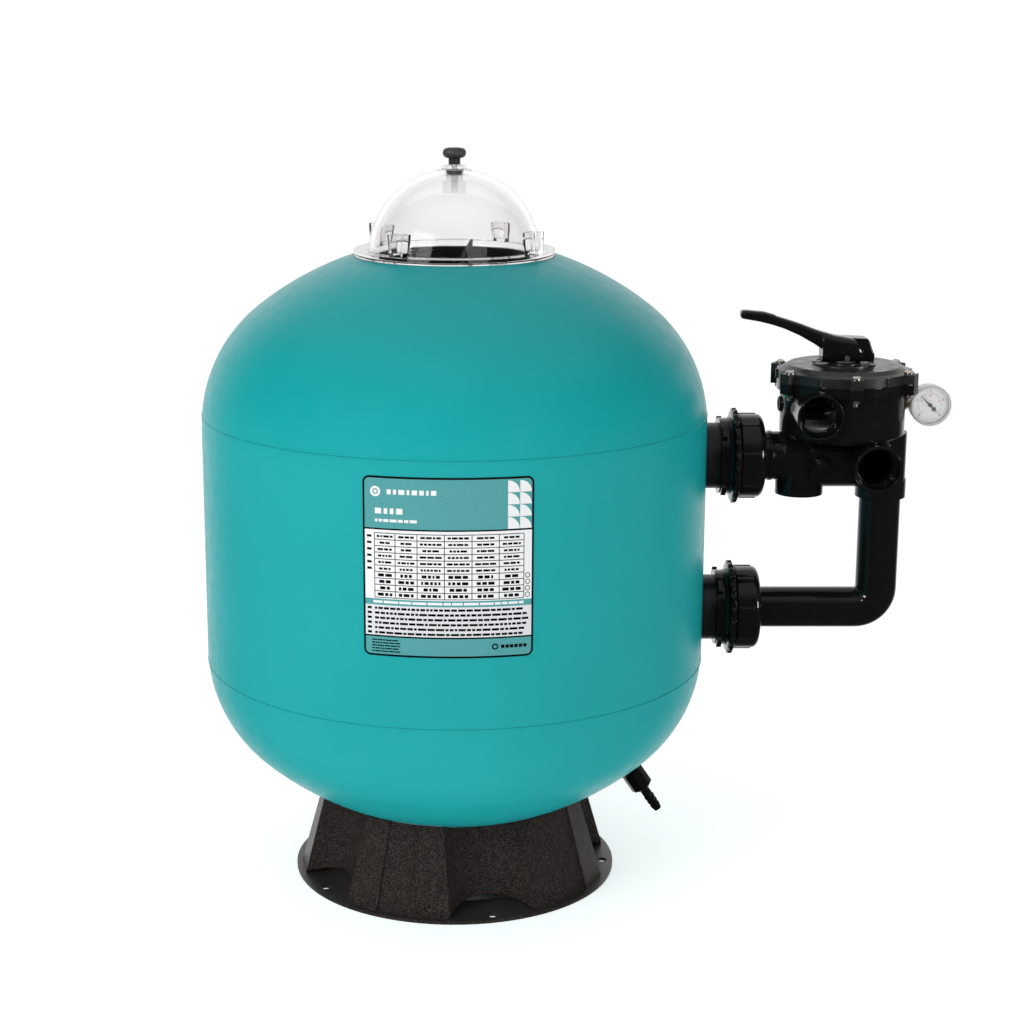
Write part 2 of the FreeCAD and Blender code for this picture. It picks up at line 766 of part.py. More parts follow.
def lock_nut(side, base, start, stop):
    """Thin lock nut with pointed teeth round its rim and a boss towards the clamp ring."""
    web = start + 5
    root = D.locknut_radius - 4
    corners = [
        (D.port_thread, start), (D.clamp_radius, start), (D.clamp_radius + 2, web - 1),
        (root, web), (D.locknut_radius, web + 2), (D.locknut_radius, stop - 2),
        (root, stop), (D.port_thread, stop)]
    blank = turned(f"{side}_locknut_blank", corners, base=base, direction=ALONG_X)
    scallops = []
    count = 24
    scallop = 6.2
    spot = D.locknut_radius.value + 3.6
    for number in range(count):
        angle = math.radians(number * WHOLE_TURN / count)
        scallops.append(cylinder(
            f"{side}_scallop_{number}", scallop, stop - web + 2 * PAST,
            (web - PAST, spot * math.cos(angle), base[2] + spot * math.sin(angle)), ALONG_X))
    return cut(f"{side}_locknut", blank, scallops)


def union_nut(side, base, tail_radius):
    """Union nut with eight thin ribs and a rounded shoulder that holds the tail's collar."""
    start, stop = D.union_start, D.union_end
    rib_rise = 1.2
    rib_radius = 2.2
    first_rib = 32.7
    rounding = 8.0
    run = 0.4
    thread_end = stop - 9.8
    body = D.union_radius - rib_rise
    lip = tail_radius + run
    corners = [
        (D.port_thread + run, start), (body - 2, start), (body, start + 2),
        (body, stop - rounding), (body - rounding, stop), (lip, stop),
        (lip, thread_end), (D.port_thread + run, thread_end)]
    arcs = {3: (body - rounding, stop - rounding, rounding)}
    blank = turned(f"{side}_union_blank", corners, arcs, base=base, direction=ALONG_X)
    ribs = [blank]
    count = 8
    for number in range(count):
        angle = math.radians(first_rib + number * WHOLE_TURN / count)
        spot = (D.union_radius - rib_radius).value
        ribs.append(cylinder(
            f"{side}_rib_{number}", rib_radius, stop - rounding - start - 2,
            (start + 2, spot * math.cos(angle), base[2] + spot * math.sin(angle)), ALONG_X))
    return fuse(f"{side}_union_nut", ribs)


# ---------------------------------------------------------------- inside the tank

INNER_END = 304.0
ELBOW_REACH = 34.0
SOCKET_WALL = 5.0


def corner_elbow(name, height, vertical):
    """Elbow at the tank's axis: one socket towards +X, one up (+1) or down (-1)."""
    way = UP if vertical > 0 else DOWN
    outer = D.inner_pipe + SOCKET_WALL
    stop = ELBOW_REACH
    solid = fuse(f"{name}_blank", [
        cylinder(f"{name}_side", outer, stop, on_axis(height), ALONG_X),
        cylinder(f"{name}_leg", outer, stop, (0, 0, height), way),
        sphere(f"{name}_ball", outer, (0, 0, height))])
    depth = 10.0
    end_z = height + vertical * (stop - depth)
    return cut(name, solid, [
        cylinder(f"{name}_side_bore", D.inner_bore, stop + 5, on_axis(height), ALONG_X),
        cylinder(f"{name}_leg_bore", D.inner_bore, stop + 5, (0, 0, height), way),
        sphere(f"{name}_ball_bore", D.inner_bore, (0, 0, height)),
        cylinder(f"{name}_side_socket", D.inner_pipe, depth + PAST,
                 (stop - depth, 0, height), ALONG_X),
        cylinder(f"{name}_leg_socket", D.inner_pipe, depth + PAST, (0, 0, end_z), way)])


def inner_pipework():
    """Diffuser on the upper port, under-drain with laterals on the lower port."""
    depth = 10.0
    start = ELBOW_REACH - depth
    parts = [
        ring("diffuser_pipe", D.inner_bore, D.inner_pipe, start, INNER_END,
             on_axis(D.port_high), ALONG_X),
        corner_elbow("diffuser_elbow", D.port_high, 1),
        ring("diffuser_riser", D.inner_bore, D.inner_pipe,
             D.port_high + start, DIFFUSER_LOW + depth),
        diffuser_head(),
        air_strainer(),
        ring("underdrain_pipe", D.inner_bore, D.inner_pipe, start, INNER_END,
             on_axis(D.port_low), ALONG_X),
        corner_elbow("underdrain_elbow", D.port_low, -1),
        ring("underdrain_riser", D.inner_bore, D.inner_pipe,
             HUB_TOP - depth, D.port_low - start),
        underdrain_hub(),
        laterals(),
    ]
    return parts


DIFFUSER_LOW = 672.0
DIFFUSER_TOP = 738.0


def diffuser_head():
    """Inverted bell with slots that spreads the incoming water over the sand."""
    low, top = DIFFUSER_LOW, DIFFUSER_TOP
    wall = 3.5
    rim = 62.0
    shoulder = 8.0
    socket = D.inner_pipe + SOCKET_WALL
    blank = turned("diffuser_blank", [
        (socket, low), (socket, low + 12), (rim, low + 30), (rim, top - shoulder),
        (rim - shoulder, top), (0, top), (0, top - wall), (rim - shoulder, top - wall),
        (rim - wall, top - shoulder - 1), (rim - wall, low + 32), (D.inner_pipe, low + 13),
        (D.inner_pipe, low)])
    slots = []
    slot_radius = 3.5
    slot_start = 40.0
    for number in range(12):
        degrees = number * 30
        x, y = polar(slot_start, degrees)
        toward = (math.cos(math.radians(degrees)), math.sin(math.radians(degrees)), 0)
        slots.append(cylinder(
            f"diffuser_slot_{number}", slot_radius, slot_start, (x, y, low + 46), toward))
    return cut("diffuser_head", blank, slots)


def air_strainer():
    """Small leaning strainer on the diffuser that lets trapped air out through the neck."""
    foot = (3.0, 0.0, DIFFUSER_TOP)
    lean = (0.33, 0, 0.944)
    radius = 5.6
    length = 46.0
    base = cylinder("strainer_foot", 9.0, 6.0, (foot[0], 0, foot[2]))
    tube = cylinder("strainer_tube", radius, length, (foot[0], 0, foot[2] + 2), lean)
    tip = sphere("strainer_tip", radius, (
        foot[0] + length * lean[0], 0, foot[2] + 2 + length * lean[2]))
    bands = []
    for number in range(3):
        along = 30.0 + number * 6
        bands.append(torus(f"strainer_band_{number}", radius, 0.7, (
            foot[0] + along * lean[0], 0, foot[2] + 2 + along * lean[2]), lean))
    return fuse("air_strainer", [base, tube, tip] + bands)


HUB_LOW = 122.0
HUB_TOP = 156.0
LATERAL_Z = 139.0
LATERAL_COUNT = 8
LATERAL_RADIUS = 11.0
HUB_RADIUS = 46.0


def lateral_direction(number):
    angle = math.radians((number + 0.5) * WHOLE_TURN / LATERAL_COUNT)
    return math.cos(angle), math.sin(angle), 0


def underdrain_hub():
    wall = 4.0
    depth = 10.0
    corners = [
        (D.inner_pipe, HUB_TOP), (D.inner_pipe, HUB_TOP - depth), (HUB_RADIUS - wall, HUB_TOP - depth - 1),
        (HUB_RADIUS - wall, HUB_LOW + wall), (0, HUB_LOW + wall), (0, HUB_LOW),
        (HUB_RADIUS, HUB_LOW), (HUB_RADIUS, HUB_TOP - 6), (HUB_RADIUS - 8, HUB_TOP)]
    blank = turned("hub_blank", corners)
    holes = []
    for number in range(LATERAL_COUNT):
        holes.append(cylinder(f"hub_hole_{number}", LATERAL_RADIUS - 2, HUB_RADIUS + 10,
                              (0, 0, LATERAL_Z), lateral_direction(number)))
    return cut("underdrain_hub", blank, holes)


def laterals():
    """Slotted tubes that collect the filtered water, spread like spokes."""
    tubes = []
    reach = 168.0
    for number in range(LATERAL_COUNT):
        toward = lateral_direction(number)
        start = (HUB_RADIUS * toward[0] * 1.035, HUB_RADIUS * toward[1] * 1.035, LATERAL_Z)
        span = reach - HUB_RADIUS
        outer = cylinder(f"lateral_{number}_outer", LATERAL_RADIUS, span, start, toward)
        inner = cylinder(f"lateral_{number}_inner", LATERAL_RADIUS - 2.5, span - 3, start, toward)
        tools = [inner]
        for slot in range(6):
            gap = 14 + slot * 17.0
            across = (-toward[1], toward[0], 0)
            centre = (start[0] + toward[0] * gap - across[0] * 15,
                      start[1] + toward[1] * gap - across[1] * 15, LATERAL_Z - LATERAL_RADIUS)
            tools.append(cylinder(f"lateral_{number}_slot_{slot}", 2.2, 30, centre, across))
        tubes.append(cut(f"lateral_{number}", outer, tools))
    return group("laterals", tubes)


# ---------------------------------------------------------------- drain

def drain_parts():
    """Drain through the lower head, turned about a line from the crown's centre."""
    skin = D.low_crown
    inside = D.low_crown - D.tank_wall
    base, way = DRAIN_CENTRE, DRAIN_AXIS
    thread = DRAIN_THREAD
    bore = 5.0
    pad = 17.0
    pad_low, pad_high = inside - 8, inside - 4
    gasket_end = skin + 3
    lock_start, lock_thick, lock_radius = skin + 3.1, 9.0, 20.0
    spigot_end = skin + 34
    washer_start, washer_end = skin + 34.3, skin + 36.3
    tail = thread - 0.4
    shoulder = skin + 40
    bulkhead = turned("drain_bulkhead", [
        (bore, inside - 26), (thread, inside - 26), (thread, pad_low), (pad, pad_low),
        (pad, pad_high), (thread, pad_high), (thread, spigot_end), (bore, spigot_end)],
        base=base, direction=way)
    inner_pad = common("drain_inner_gasket", [
        ring("drain_inner_pad", thread, pad, pad_high, inside + 1, base, way),
        sphere("drain_inner_sphere", inside, DRAIN_CENTRE)])
    outer_pad = cut("drain_outer_gasket",
                    ring("drain_outer_pad", thread, pad + 2, skin - 2, gasket_end, base, way),
                    [sphere("drain_outer_sphere", skin, DRAIN_CENTRE)])
    lock = cut("drain_locknut",
               hexagon("drain_lock_hex", lock_radius, lock_thick, offset(lock_start), way),
               [cylinder("drain_lock_hole", thread, 2 * lock_thick, offset(skin), way)])
    washer = ring("drain_washer", bore, tail, washer_start, washer_end, base, way)
    hose_bore = 3.6
    barb = turned("drain_barb", [
        (hose_bore, washer_end), (tail, washer_end), (tail, shoulder), (6, shoulder),
        (6, skin + 62), (6.9, skin + 62), (5.6, skin + 68.5), (6.7, skin + 68.5), (5.4, skin + 75),
        (6.5, skin + 75), (4.8, skin + 83), (hose_bore, skin + 83)], base=base, direction=way)
    nut_low, nut_high = 21.0, 46.0
    crown_height = 4.0
    octagon = primitive("Part::Prism", "drain_nut_flats",
                        {"Circumradius": 14.4, "Height": nut_high - nut_low},
                        offset(skin + nut_low), way)
    octagon.Polygon = 8
    crown = cone("drain_nut_crown", 13.2, 8.4, crown_height, offset(skin + nut_high), way)
    thread_deep = 40.1 - nut_low
    nut = cut("drain_nut", fuse("drain_nut_blank", [octagon, crown]), [
        cylinder("drain_nut_bore", thread + 0.3, thread_deep + PAST,
                 offset(skin + nut_low - PAST), way),
        cylinder("drain_nut_lip", 6.4, nut_high, offset(skin + nut_low), way),
    ])
    return [bulkhead, inner_pad, outer_pad, lock, washer, barb, nut]


def offset(distance):
    """A point on the drain's axis, at a distance from the crown's centre."""
    distance = dim(distance)
    return (distance * DRAIN_AXIS[0], 0, DRAIN_CENTRE[2] + distance * DRAIN_AXIS[2])


# ---------------------------------------------------------------- selector valve

SCREW_ANGLES = [30 + 60 * number for number in range(6)]
LUG_ROOT = 70.0        # the flange's ears, measured from the valve's axis
LUG_REACH = 90.5
LUG_HALF = 8.0
SIDE_BOSS_ROOT = 62.0
SIDE_BOSS_END = 75.6
SEAL_CIRCLE_VALVE = 70.5
SCREW_SEAT_RISE = 0.5
PORT_FACE = 85.0      # front ports end this far in front of the valve's axis
PORT_ROOT = 9.0       # and start this far in front of it
UPPER_PORT = (430.0, 588.3)
LOWER_PORT = (501.0, 526.0)
DOWN_PORT_X = 421.0
DOWN_PORT_Z = 479.5
SOCKET_DEPTH = 20.0


def valve_point(radius, degrees):
    x, y = polar(radius, degrees)
    return D.valve_x + x, y


def turned_block(name, low, high, degrees):
    """A box between two corners, turned about the valve's axis."""
    box = block(name, low, high)
    turn = FreeCAD.Rotation(Vector(0, 0, 1), degrees)
    corner = turn.multVec(Vector(low[0], low[1], 0))
    box.Placement = FreeCAD.Placement(Vector(0, 0, 0), turn)
    bind(box, "Placement.Base.x", D.valve_x + corner.x)
    bind(box, "Placement.Base.y", corner.y)
    bind(box, "Placement.Base.z", low[2])
    return box


def lugs(name, low, high):
    """Square ears round a flange, one for each cover screw."""
    parts = []
    for number, degrees in enumerate(SCREW_ANGLES):
        parts.append(turned_block(f"{name}_lug_{number}", (LUG_ROOT, -LUG_HALF, low),
                                  (LUG_REACH, LUG_HALF, high), degrees))
    return parts


def screw_holes(name, low, high):
    holes = []
    for number, degrees in enumerate(SCREW_ANGLES):
        x, y = valve_point(D.screw_circle, degrees)
        holes.append(cylinder(f"{name}_hole_{number}", D.screw_radius + 0.1, high - low,
                              (x, y, low)))
    return holes


def valve_bowl():
    floor = D.bowl_low + 8
    rim = D.bowl_radius + 5
    corners = [
        (0, D.bowl_low), (D.bowl_radius - 5, D.bowl_low), (D.bowl_radius, D.bowl_low + 5),
        (D.bowl_radius, D.flange_low), (rim, D.flange_low), (rim, D.parting),
        (D.bowl_bore, D.parting), (D.bowl_bore, floor), (0, floor)]
    return turned("valve_bowl", corners, base=(D.valve_x, 0, 0))


def valve_body():
    """Bowl, manifold and ports in one moulding, bored through for the water."""
    axis_z = D.port_high
    manifold = 30.0
    chest, chest_start = 38.0, 430.0
    socket_low = 476.0
    collar_top = 498.0
    side_boss = SIDE_BOSS_END - SIDE_BOSS_ROOT
    solid = fuse_in_turn("valve_blank", [
        valve_bowl(),
        cylinder("valve_tail_collar", 35, 5, (TAIL_START, 0, axis_z), ALONG_X),
        cylinder("valve_tail", D.stub_radius, 60, (TAIL_START, 0, axis_z), ALONG_X),
        cylinder("valve_tail_bead", D.stub_radius + 1, 4, (381, 0, axis_z), ALONG_X),
        cylinder("valve_manifold", manifold, D.riser_x - 398, (398, 0, axis_z), ALONG_X),
        cylinder("valve_chest", chest, D.riser_x - chest_start, (chest_start, 0, axis_z), ALONG_X),
        cylinder("valve_manifold_up", 26, 50, (DOWN_PORT_X + 12, 0, axis_z)),
        cylinder("valve_down_port", 29, axis_z - DOWN_PORT_Z, (DOWN_PORT_X, 0, DOWN_PORT_Z)),
        cylinder("valve_riser", 29.2, D.bowl_low + 4 - collar_top, (D.riser_x, 0, collar_top)),
        cylinder("valve_collar", 30.5, collar_top - socket_low, (D.riser_x, 0, socket_low)),
        cylinder("valve_port_1", 27.5, PORT_FACE - PORT_ROOT,
                 (UPPER_PORT[0], -PORT_ROOT, UPPER_PORT[1]), FRONT),
        cylinder("valve_port_2", 28.5, PORT_FACE - PORT_ROOT,
                 (LOWER_PORT[0], -PORT_ROOT, LOWER_PORT[1]), FRONT),
        cylinder("valve_plug_boss", 9, 44, (441, 0, axis_z - 2), FRONT),
        cylinder("valve_gauge_boss", 9, side_boss,
                 (D.valve_x + SIDE_BOSS_ROOT, 0, D.gauge_z), ALONG_X),
        cylinder("valve_sight_boss", 11, side_boss,
                 (D.valve_x - SIDE_BOSS_ROOT, 0, D.gauge_z), (-1, 0, 0)),
    ] + lugs("bowl", D.flange_low, D.parting))
    chamber_floor = D.bowl_low + 8
    groove = torus("bowl_seal_groove", SEAL_CIRCLE_VALVE, 1.7, (D.valve_x, 0, D.parting))
    windows = []
    for number, degrees in enumerate((90, 180, 270)):
        x, y = valve_point(38, degrees)
        windows.append(cylinder(f"valve_window_{number}", 15, 30, (x, y, D.bowl_low - 10)))
    bores = [
        cylinder("valve_chamber", D.bowl_bore, 200, (D.valve_x, 0, chamber_floor)),
        cylinder("valve_tail_bore", D.port_bore, 120, (TAIL_START - PAST, 0, axis_z), ALONG_X),
        cylinder("valve_down_bore", D.pipe_bore, 60, (DOWN_PORT_X, 0, 490)),
        cylinder("valve_down_socket", D.pipe_radius, SOCKET_DEPTH + PAST,
                 (DOWN_PORT_X, 0, DOWN_PORT_Z - PAST)),
        cylinder("valve_socket", D.pipe_radius, 26, (D.riser_x, 0, socket_low - PAST)),
        cylinder("valve_riser_bore", D.pipe_bore, 45, (D.riser_x, 0, 490)),
        cylinder("valve_port_1_bore", D.pipe_bore, 45,
                 (UPPER_PORT[0], -PORT_FACE - PAST, UPPER_PORT[1]), BACK),
        cylinder("valve_port_1_socket", D.pipe_radius, SOCKET_DEPTH + PAST,
                 (UPPER_PORT[0], -PORT_FACE - PAST, UPPER_PORT[1]), BACK),
        cylinder("valve_port_2_bore", D.pipe_bore, 80,
                 (LOWER_PORT[0], -PORT_FACE - PAST, LOWER_PORT[1]), BACK),
        cylinder("valve_port_2_socket", D.pipe_radius, SOCKET_DEPTH + PAST,
                 (LOWER_PORT[0], -PORT_FACE - PAST, LOWER_PORT[1]), BACK),
        cylinder("valve_gauge_bore", 5, 20, (D.valve_x + 60, 0, D.gauge_z), ALONG_X),
        cylinder("valve_sight_bore", 7, 30, (D.valve_x - 60, 0, D.gauge_z), (-1, 0, 0)),
    ]
    return cut("valve_body", solid, bores + windows + [groove]
               + screw_holes("bowl", D.flange_low - PAST, D.parting + PAST))


def cover_seal():
    return torus("cover_seal", SEAL_CIRCLE_VALVE, 1.65, (D.valve_x, 0, D.parting))


def valve_cover():
    """Cover with a low ring round the handle and a guide for the stem underneath."""
    rim = D.bowl_radius + 5
    inner = 60.0
    roof = D.cover_top - 7
    bore = D.stem_radius + 0.05
    ring_in, ring_out = 35.5, 38.0
    ring_top = D.cover_top + 1.8
    ring_floor = D.cover_top + 0.5
    boss = 20.0
    guide, guide_low = 17.0, 620.0
    slope = 67.0
    fillet = 4.0
    corners = [
        (inner, D.parting), (rim, D.parting), (rim, D.cover_rim),
        (D.bowl_radius - 1, D.cover_rim + 2), (slope, D.cover_top), (ring_out, D.cover_top),
        (ring_out, ring_top), (ring_in, ring_top), (ring_in, ring_floor), (boss, ring_floor),
        (boss, D.dial_top), (bore, D.dial_top), (bore, guide_low), (guide, guide_low),
        (guide, roof), (inner - fillet, roof), (inner, roof - fillet)]
    blank = turned("cover_blank", corners, base=(D.valve_x, 0, 0))
    seat = D.cover_rim + SCREW_SEAT_RISE
    ribs = []
    rib_radius = 3.0
    for number, screw_degrees in enumerate(SCREW_ANGLES):
        x, y = valve_point(D.bowl_radius + 4.5, screw_degrees - 30)
        ribs.append(cylinder(
            f"cover_rib_{number}", rib_radius, D.cover_rim - D.parting, (x, y, D.parting)))
    solid = fuse("cover_solid", [blank] + ribs + lugs("cover", D.parting, seat))
    groove = torus("cover_seal_groove", SEAL_CIRCLE_VALVE, 1.7, (D.valve_x, 0, D.parting))
    spot_face = 6.4
    seats = []
    for number, degrees in enumerate(SCREW_ANGLES):
        x, y = valve_point(D.screw_circle, degrees)
        seats.append(cylinder(f"cover_seat_{number}", spot_face, 10, (x, y, seat)))
    return cut("valve_cover", solid,
               [groove] + seats + screw_holes("cover", D.parting - PAST, seat + PAST))


def cover_screws():
    """Six pan-head screws with their slots, one group."""
    screws = []
    seat = D.cover_rim + SCREW_SEAT_RISE
    end = D.flange_low - 8
    head_radius, head_thick = 5.6, 2.2
    crown_radius, crown_thick = 3.4, 1.8
    recess_radius = 2.4
    for number, degrees in enumerate(SCREW_ANGLES):
        x, y = valve_point(D.screw_circle, degrees)
        shank = cylinder(f"screw_{number}_shank", D.screw_radius, seat - end + PAST, (x, y, end))
        head = cylinder(f"screw_{number}_head", head_radius, head_thick, (x, y, seat))
        crown = cone(f"screw_{number}_crown", head_radius, crown_radius, crown_thick,
                     (x, y, seat + head_thick))
        recess = hexagon(f"screw_{number}_recess", recess_radius, 2 * head_thick,
                         (x, y, seat + crown_thick))
        screws.append(cut(f"screw_{number}",
                          fuse(f"screw_{number}_solid", [shank, head, crown]), [recess]))
    return group("cover_screws", screws)


def cover_nuts():
    nuts = []
    for number, degrees in enumerate(SCREW_ANGLES):
        x, y = valve_point(D.screw_circle, degrees)
        body = hexagon(f"nut_{number}_hex", 5.8, 4.5, (x, y, D.flange_low - 4.5))
        hole = cylinder(f"nut_{number}_hole", D.screw_radius, 6, (x, y, D.flange_low - 5))
        nuts.append(cut(f"nut_{number}", body, [hole]))
    return group("cover_nuts", nuts)


ROTOR_LOW = 561.6
ROTOR_RADIUS = 63.5


def rotor():
    """Diverter disc with ribs and its stem, which ends in a flat tang for the handle."""
    disc_top = ROTOR_LOW + 9
    corners = [
        (0, ROTOR_LOW), (ROTOR_RADIUS, ROTOR_LOW), (ROTOR_RADIUS, disc_top), (26, disc_top),
        (D.stem_radius + 4, disc_top + 5), (D.stem_radius, disc_top + 5),
        (D.stem_radius, 627), (10.9, 627), (10.9, 629.6), (D.stem_radius, 629.6),
        (D.stem_radius, D.dial_top + 1.2), (0, D.dial_top + 1.2)]
    blank = turned("rotor_blank", corners, base=(D.valve_x, 0, 0))
    tang = block("rotor_tang", (D.valve_x - 9, -6, D.dial_top), (D.valve_x + 9, 6, D.pivot_z + 7))
    pin_hole = cylinder("rotor_pin_hole", D.pin_radius + 0.05, 40, (D.valve_x, 20, D.pivot_z), FRONT)
    ways = []
    for number, degrees in enumerate((90, 210)):
        x, y = valve_point(38, degrees)
        ways.append(cylinder(f"rotor_way_{number}", 14, 30, (x, y, ROTOR_LOW - 5)))
    return cut("rotor", fuse("rotor_solid", [blank, tang]), [pin_hole] + ways)


def spider_gasket():
    """Rubber web under the rotor that seals the port windows from each other."""
    top = ROTOR_LOW
    low = ROTOR_LOW - 1.3
    hub = ring("gasket_hub", 8, 16, low, top, (D.valve_x, 0, 0))
    rim = ring("gasket_rim", 58, 63, low, top, (D.valve_x, 0, 0))
    spokes = []
    for number, degrees in enumerate((30, 150, 270)):
        spokes.append(turned_block(f"gasket_spoke_{number}", (12, -2.5, low), (60, 2.5, top),
                                   degrees))
    return fuse("spider_gasket", [hub, rim] + spokes)


SPRING_LOW = 577.0
SPRING_TOP = 631.4


def valve_spring():
    """Compression spring that holds the rotor down on its seat."""
    wire = 2.0
    radius = 21.0
    turns = 5
    low, top = SPRING_LOW + wire, SPRING_TOP - wire
    coil = Part.makeHelix((top - low) / turns, top - low, radius)
    section = Part.Wire(Part.makeCircle(wire, Vector(radius, 0, 0), Vector(0, 1, 0)))
    solid = Part.Wire(coil).makePipeShell([section], True, True)
    return feature("valve_spring", solid, (D.valve_x, 0, low))


def stem_seal():
    return torus("stem_seal", 12.0, 0.95, (D.valve_x, 0, 628.3))


def thrust_washer():
    """Washer under the handle, with a pointer that reads against the cover's ring."""
    low, top = D.dial_top + 0.05, D.dial_top + D.washer_thick
    outer = 19.5
    tip = -39.5
    root = -17.0
    root_half, tip_half = 8.0, 1.0
    disc = ring("washer_disc", D.stem_radius + 0.4, outer, low, top, (D.valve_x, 0, 0))
    outline = [Vector(root, -root_half, 0), Vector(root, root_half, 0),
               Vector(tip, tip_half, 0), Vector(tip, -tip_half, 0)]
    face = Part.Face(Part.makePolygon(outline + [outline[0]]))
    pointer = feature("washer_pointer", face.extrude(Vector(0, 0, (top - low).value)),
                      (D.valve_x, 0, low))
    return fuse("thrust_washer", [disc, pointer])


def handle_pin():
    proud = 1.0
    return cylinder("handle_pin", D.pin_radius, 2 * (D.cheek + proud),
                    (D.valve_x, D.cheek + proud, D.pivot_z), FRONT)


def handle():
    """Push-down handle: forked hub on the tang, arm rising towards the tank."""
    x0 = D.valve_x.value
    heel_z = D.dial_top.value + D.washer_thick.value + 0.3
    half_hub = D.cheek.value
    half_arm = 11.5
    cheek_edge = -7.0

    def outline(points):
        """A closed wire of (across, height) points; a nested list is one smooth curve."""
        edges = []
        first = last = None
        for item in points:
            run = item if isinstance(item, list) else [item]
            spots = [Vector(x0 + across, 0, height) for across, height in run]
            if last is not None:
                edges.append(Part.LineSegment(last, spots[0]).toShape())
            if len(spots) > 1:
                curve = Part.BSplineCurve()
                curve.interpolate(spots)
                edges.append(curve.toShape())
            first = first or spots[0]
            last = spots[-1]
        edges.append(Part.LineSegment(last, first).toShape())
        return Part.Wire(edges)

    def slab(wire, low, high):
        solid = Part.Face(wire).extrude(Vector(0, high - low, 0))
        solid.translate(Vector(0, low, 0))
        return solid

    arm = slab(outline([
        [(-118.4, 704.5), (-99.1, 702.7), (-78.2, 696.0), (-55.9, 689.0), (-36.3, 681.6),
         (-13.9, 675.0), (5.5, 672.0)],
        (5.5, 655.0), (-24.7, 655.0),
        [(-27.0, 656.8), (-38.3, 663.6), (-55.3, 673.1), (-73.5, 681.2), (-88.9, 686.3),
         (-105.6, 690.3), (-124.5, 693.4)],
        (-127.2, 697.0), (-126.6, 701.5), (-123.2, 704.5)]), -half_arm, half_arm)
    front = slab(outline([
        [(-29.0, 657.5), (-26.5, 652.5), (-29.6, heel_z)],
        (20.5, heel_z),
        [(22.2, 652.4), (20.5, 659.4), (16.1, 665.6), (8.9, 671.0), (0.0, 672.6)],
        (-13.9, 674.0)]), -half_hub, cheek_edge)
    rear = slab(outline([
        [(-29.0, 657.5), (-26.5, 652.5), (-29.6, heel_z)],
        (35.0, heel_z), (35.4, 651.0), (32.6, 657.0), (29.4, 666.0), (26.5, 670.2),
        (0.0, 672.0), (-13.9, 674.0)]), cheek_edge, half_hub)
    solid = arm.fuse([front, rear]).removeSplitter()
    slot_half = 6.35
    slot_from, slot_to = -17.0, 43.0
    slot_top = D.pivot_z.value + 11.0
    slot = Part.makeBox(slot_to - slot_from, 2 * slot_half, slot_top - heel_z + PAST,
                        Vector(x0 + slot_from, -slot_half, heel_z - PAST))
    pin_run = D.pin_radius.value + 0.05
    hole = Part.makeCylinder(pin_run, 3 * half_hub, Vector(x0, -1.5 * half_hub, D.pivot_z.value),
                             Vector(*BACK))
    pocket_radius, pocket_deep = 15.0, 3.5
    pocket = Part.makeCylinder(pocket_radius, pocket_deep + PAST, Vector(x0, 0, heel_z - PAST))
    return feature("handle", solid.cut([slot, hole, pocket]))


def sight_glass():
    recess = 0.2
    return cylinder("sight_glass", 6.95, 9,
                    (D.valve_x - SIDE_BOSS_END + recess, 0, D.gauge_z), ALONG_X)


def sight_ring():
    return ring("sight_ring", 7.0, 9.0, 0, 2.2,
                (D.valve_x - SIDE_BOSS_END, 0, D.gauge_z), (-1, 0, 0))


def manifold_plug():
    """Threaded plug in the manifold's front boss."""
    hexa = hexagon("plug_hex", 6.5, 4, (441, -47, D.port_high - 2), FRONT)
    flange = cylinder("plug_flange", 8.2, 3, (441, -44, D.port_high - 2), FRONT)
    return fuse("manifold_plug", [flange, hexa])


# ---------------------------------------------------------------- gauge

def gauge_parts():
    """Pressure gauge on the side of the bowl, its dial facing the front."""
    centre = (D.gauge_x, 0, D.gauge_z)
    boss_end = D.valve_x + SIDE_BOSS_END
    neck_start = boss_end + 1.6
    neck_radius = 4.0
    fitting = fuse("gauge_fitting", [
        cylinder("gauge_thread", 4.9, 14, (boss_end - 12, 0, D.gauge_z), ALONG_X),
        hexagon("gauge_hex", 6.6, 3.2, (boss_end + 0.1, 0, D.gauge_z), ALONG_X)])
    adaptor = cut("gauge_adaptor", fitting, [
        cylinder("gauge_fit_hole", neck_radius, 8, (neck_start, 0, D.gauge_z), ALONG_X)])
    back = 8.0
    wall = 1.6
    radius = D.gauge_radius
    case_radius = radius - 0.8
    case_front = 12.5
    dial_back, dial_front = 8.6, 9.4
    case = turned("gauge_case", [
        (0, -back), (radius - 3, -back), (case_radius, -back + 3), (case_radius, case_front),
        (case_radius - wall, case_front), (case_radius - wall, -back + 4), (0, -back + 4)],
        base=centre, direction=FRONT)
    neck_long = 3.8
    neck = cylinder("gauge_neck", neck_radius, neck_long, (neck_start, 0, D.gauge_z), ALONG_X)
    housing = fuse("gauge_housing", [case, neck])
    bezel = turned("gauge_bezel", [
        (radius - 2.6, case_front), (radius, case_front), (radius, 14.5), (radius - 1.2, 16),
        (radius - 3.2, 16), (radius - 3.2, 14.8), (radius - 2.6, 14.8)],
        base=centre, direction=FRONT)
    dial = ring("gauge_dial", 1.0, radius - 2.8, dial_back, dial_front, centre, FRONT)
    lens = cylinder("gauge_lens", radius - 2.7, 1.6, (D.gauge_x, -13.1, D.gauge_z), FRONT)
    movement = cylinder("gauge_movement", 12, 10, (D.gauge_x, 2, D.gauge_z), FRONT)
    arbor_hole = cylinder("gauge_arbor_hole", 0.95, 20, (D.gauge_x, 4, D.gauge_z), FRONT)
    works = cut("gauge_works", movement, [arbor_hole])
    return [adaptor, housing, bezel, dial, lens, works, gauge_needle()]


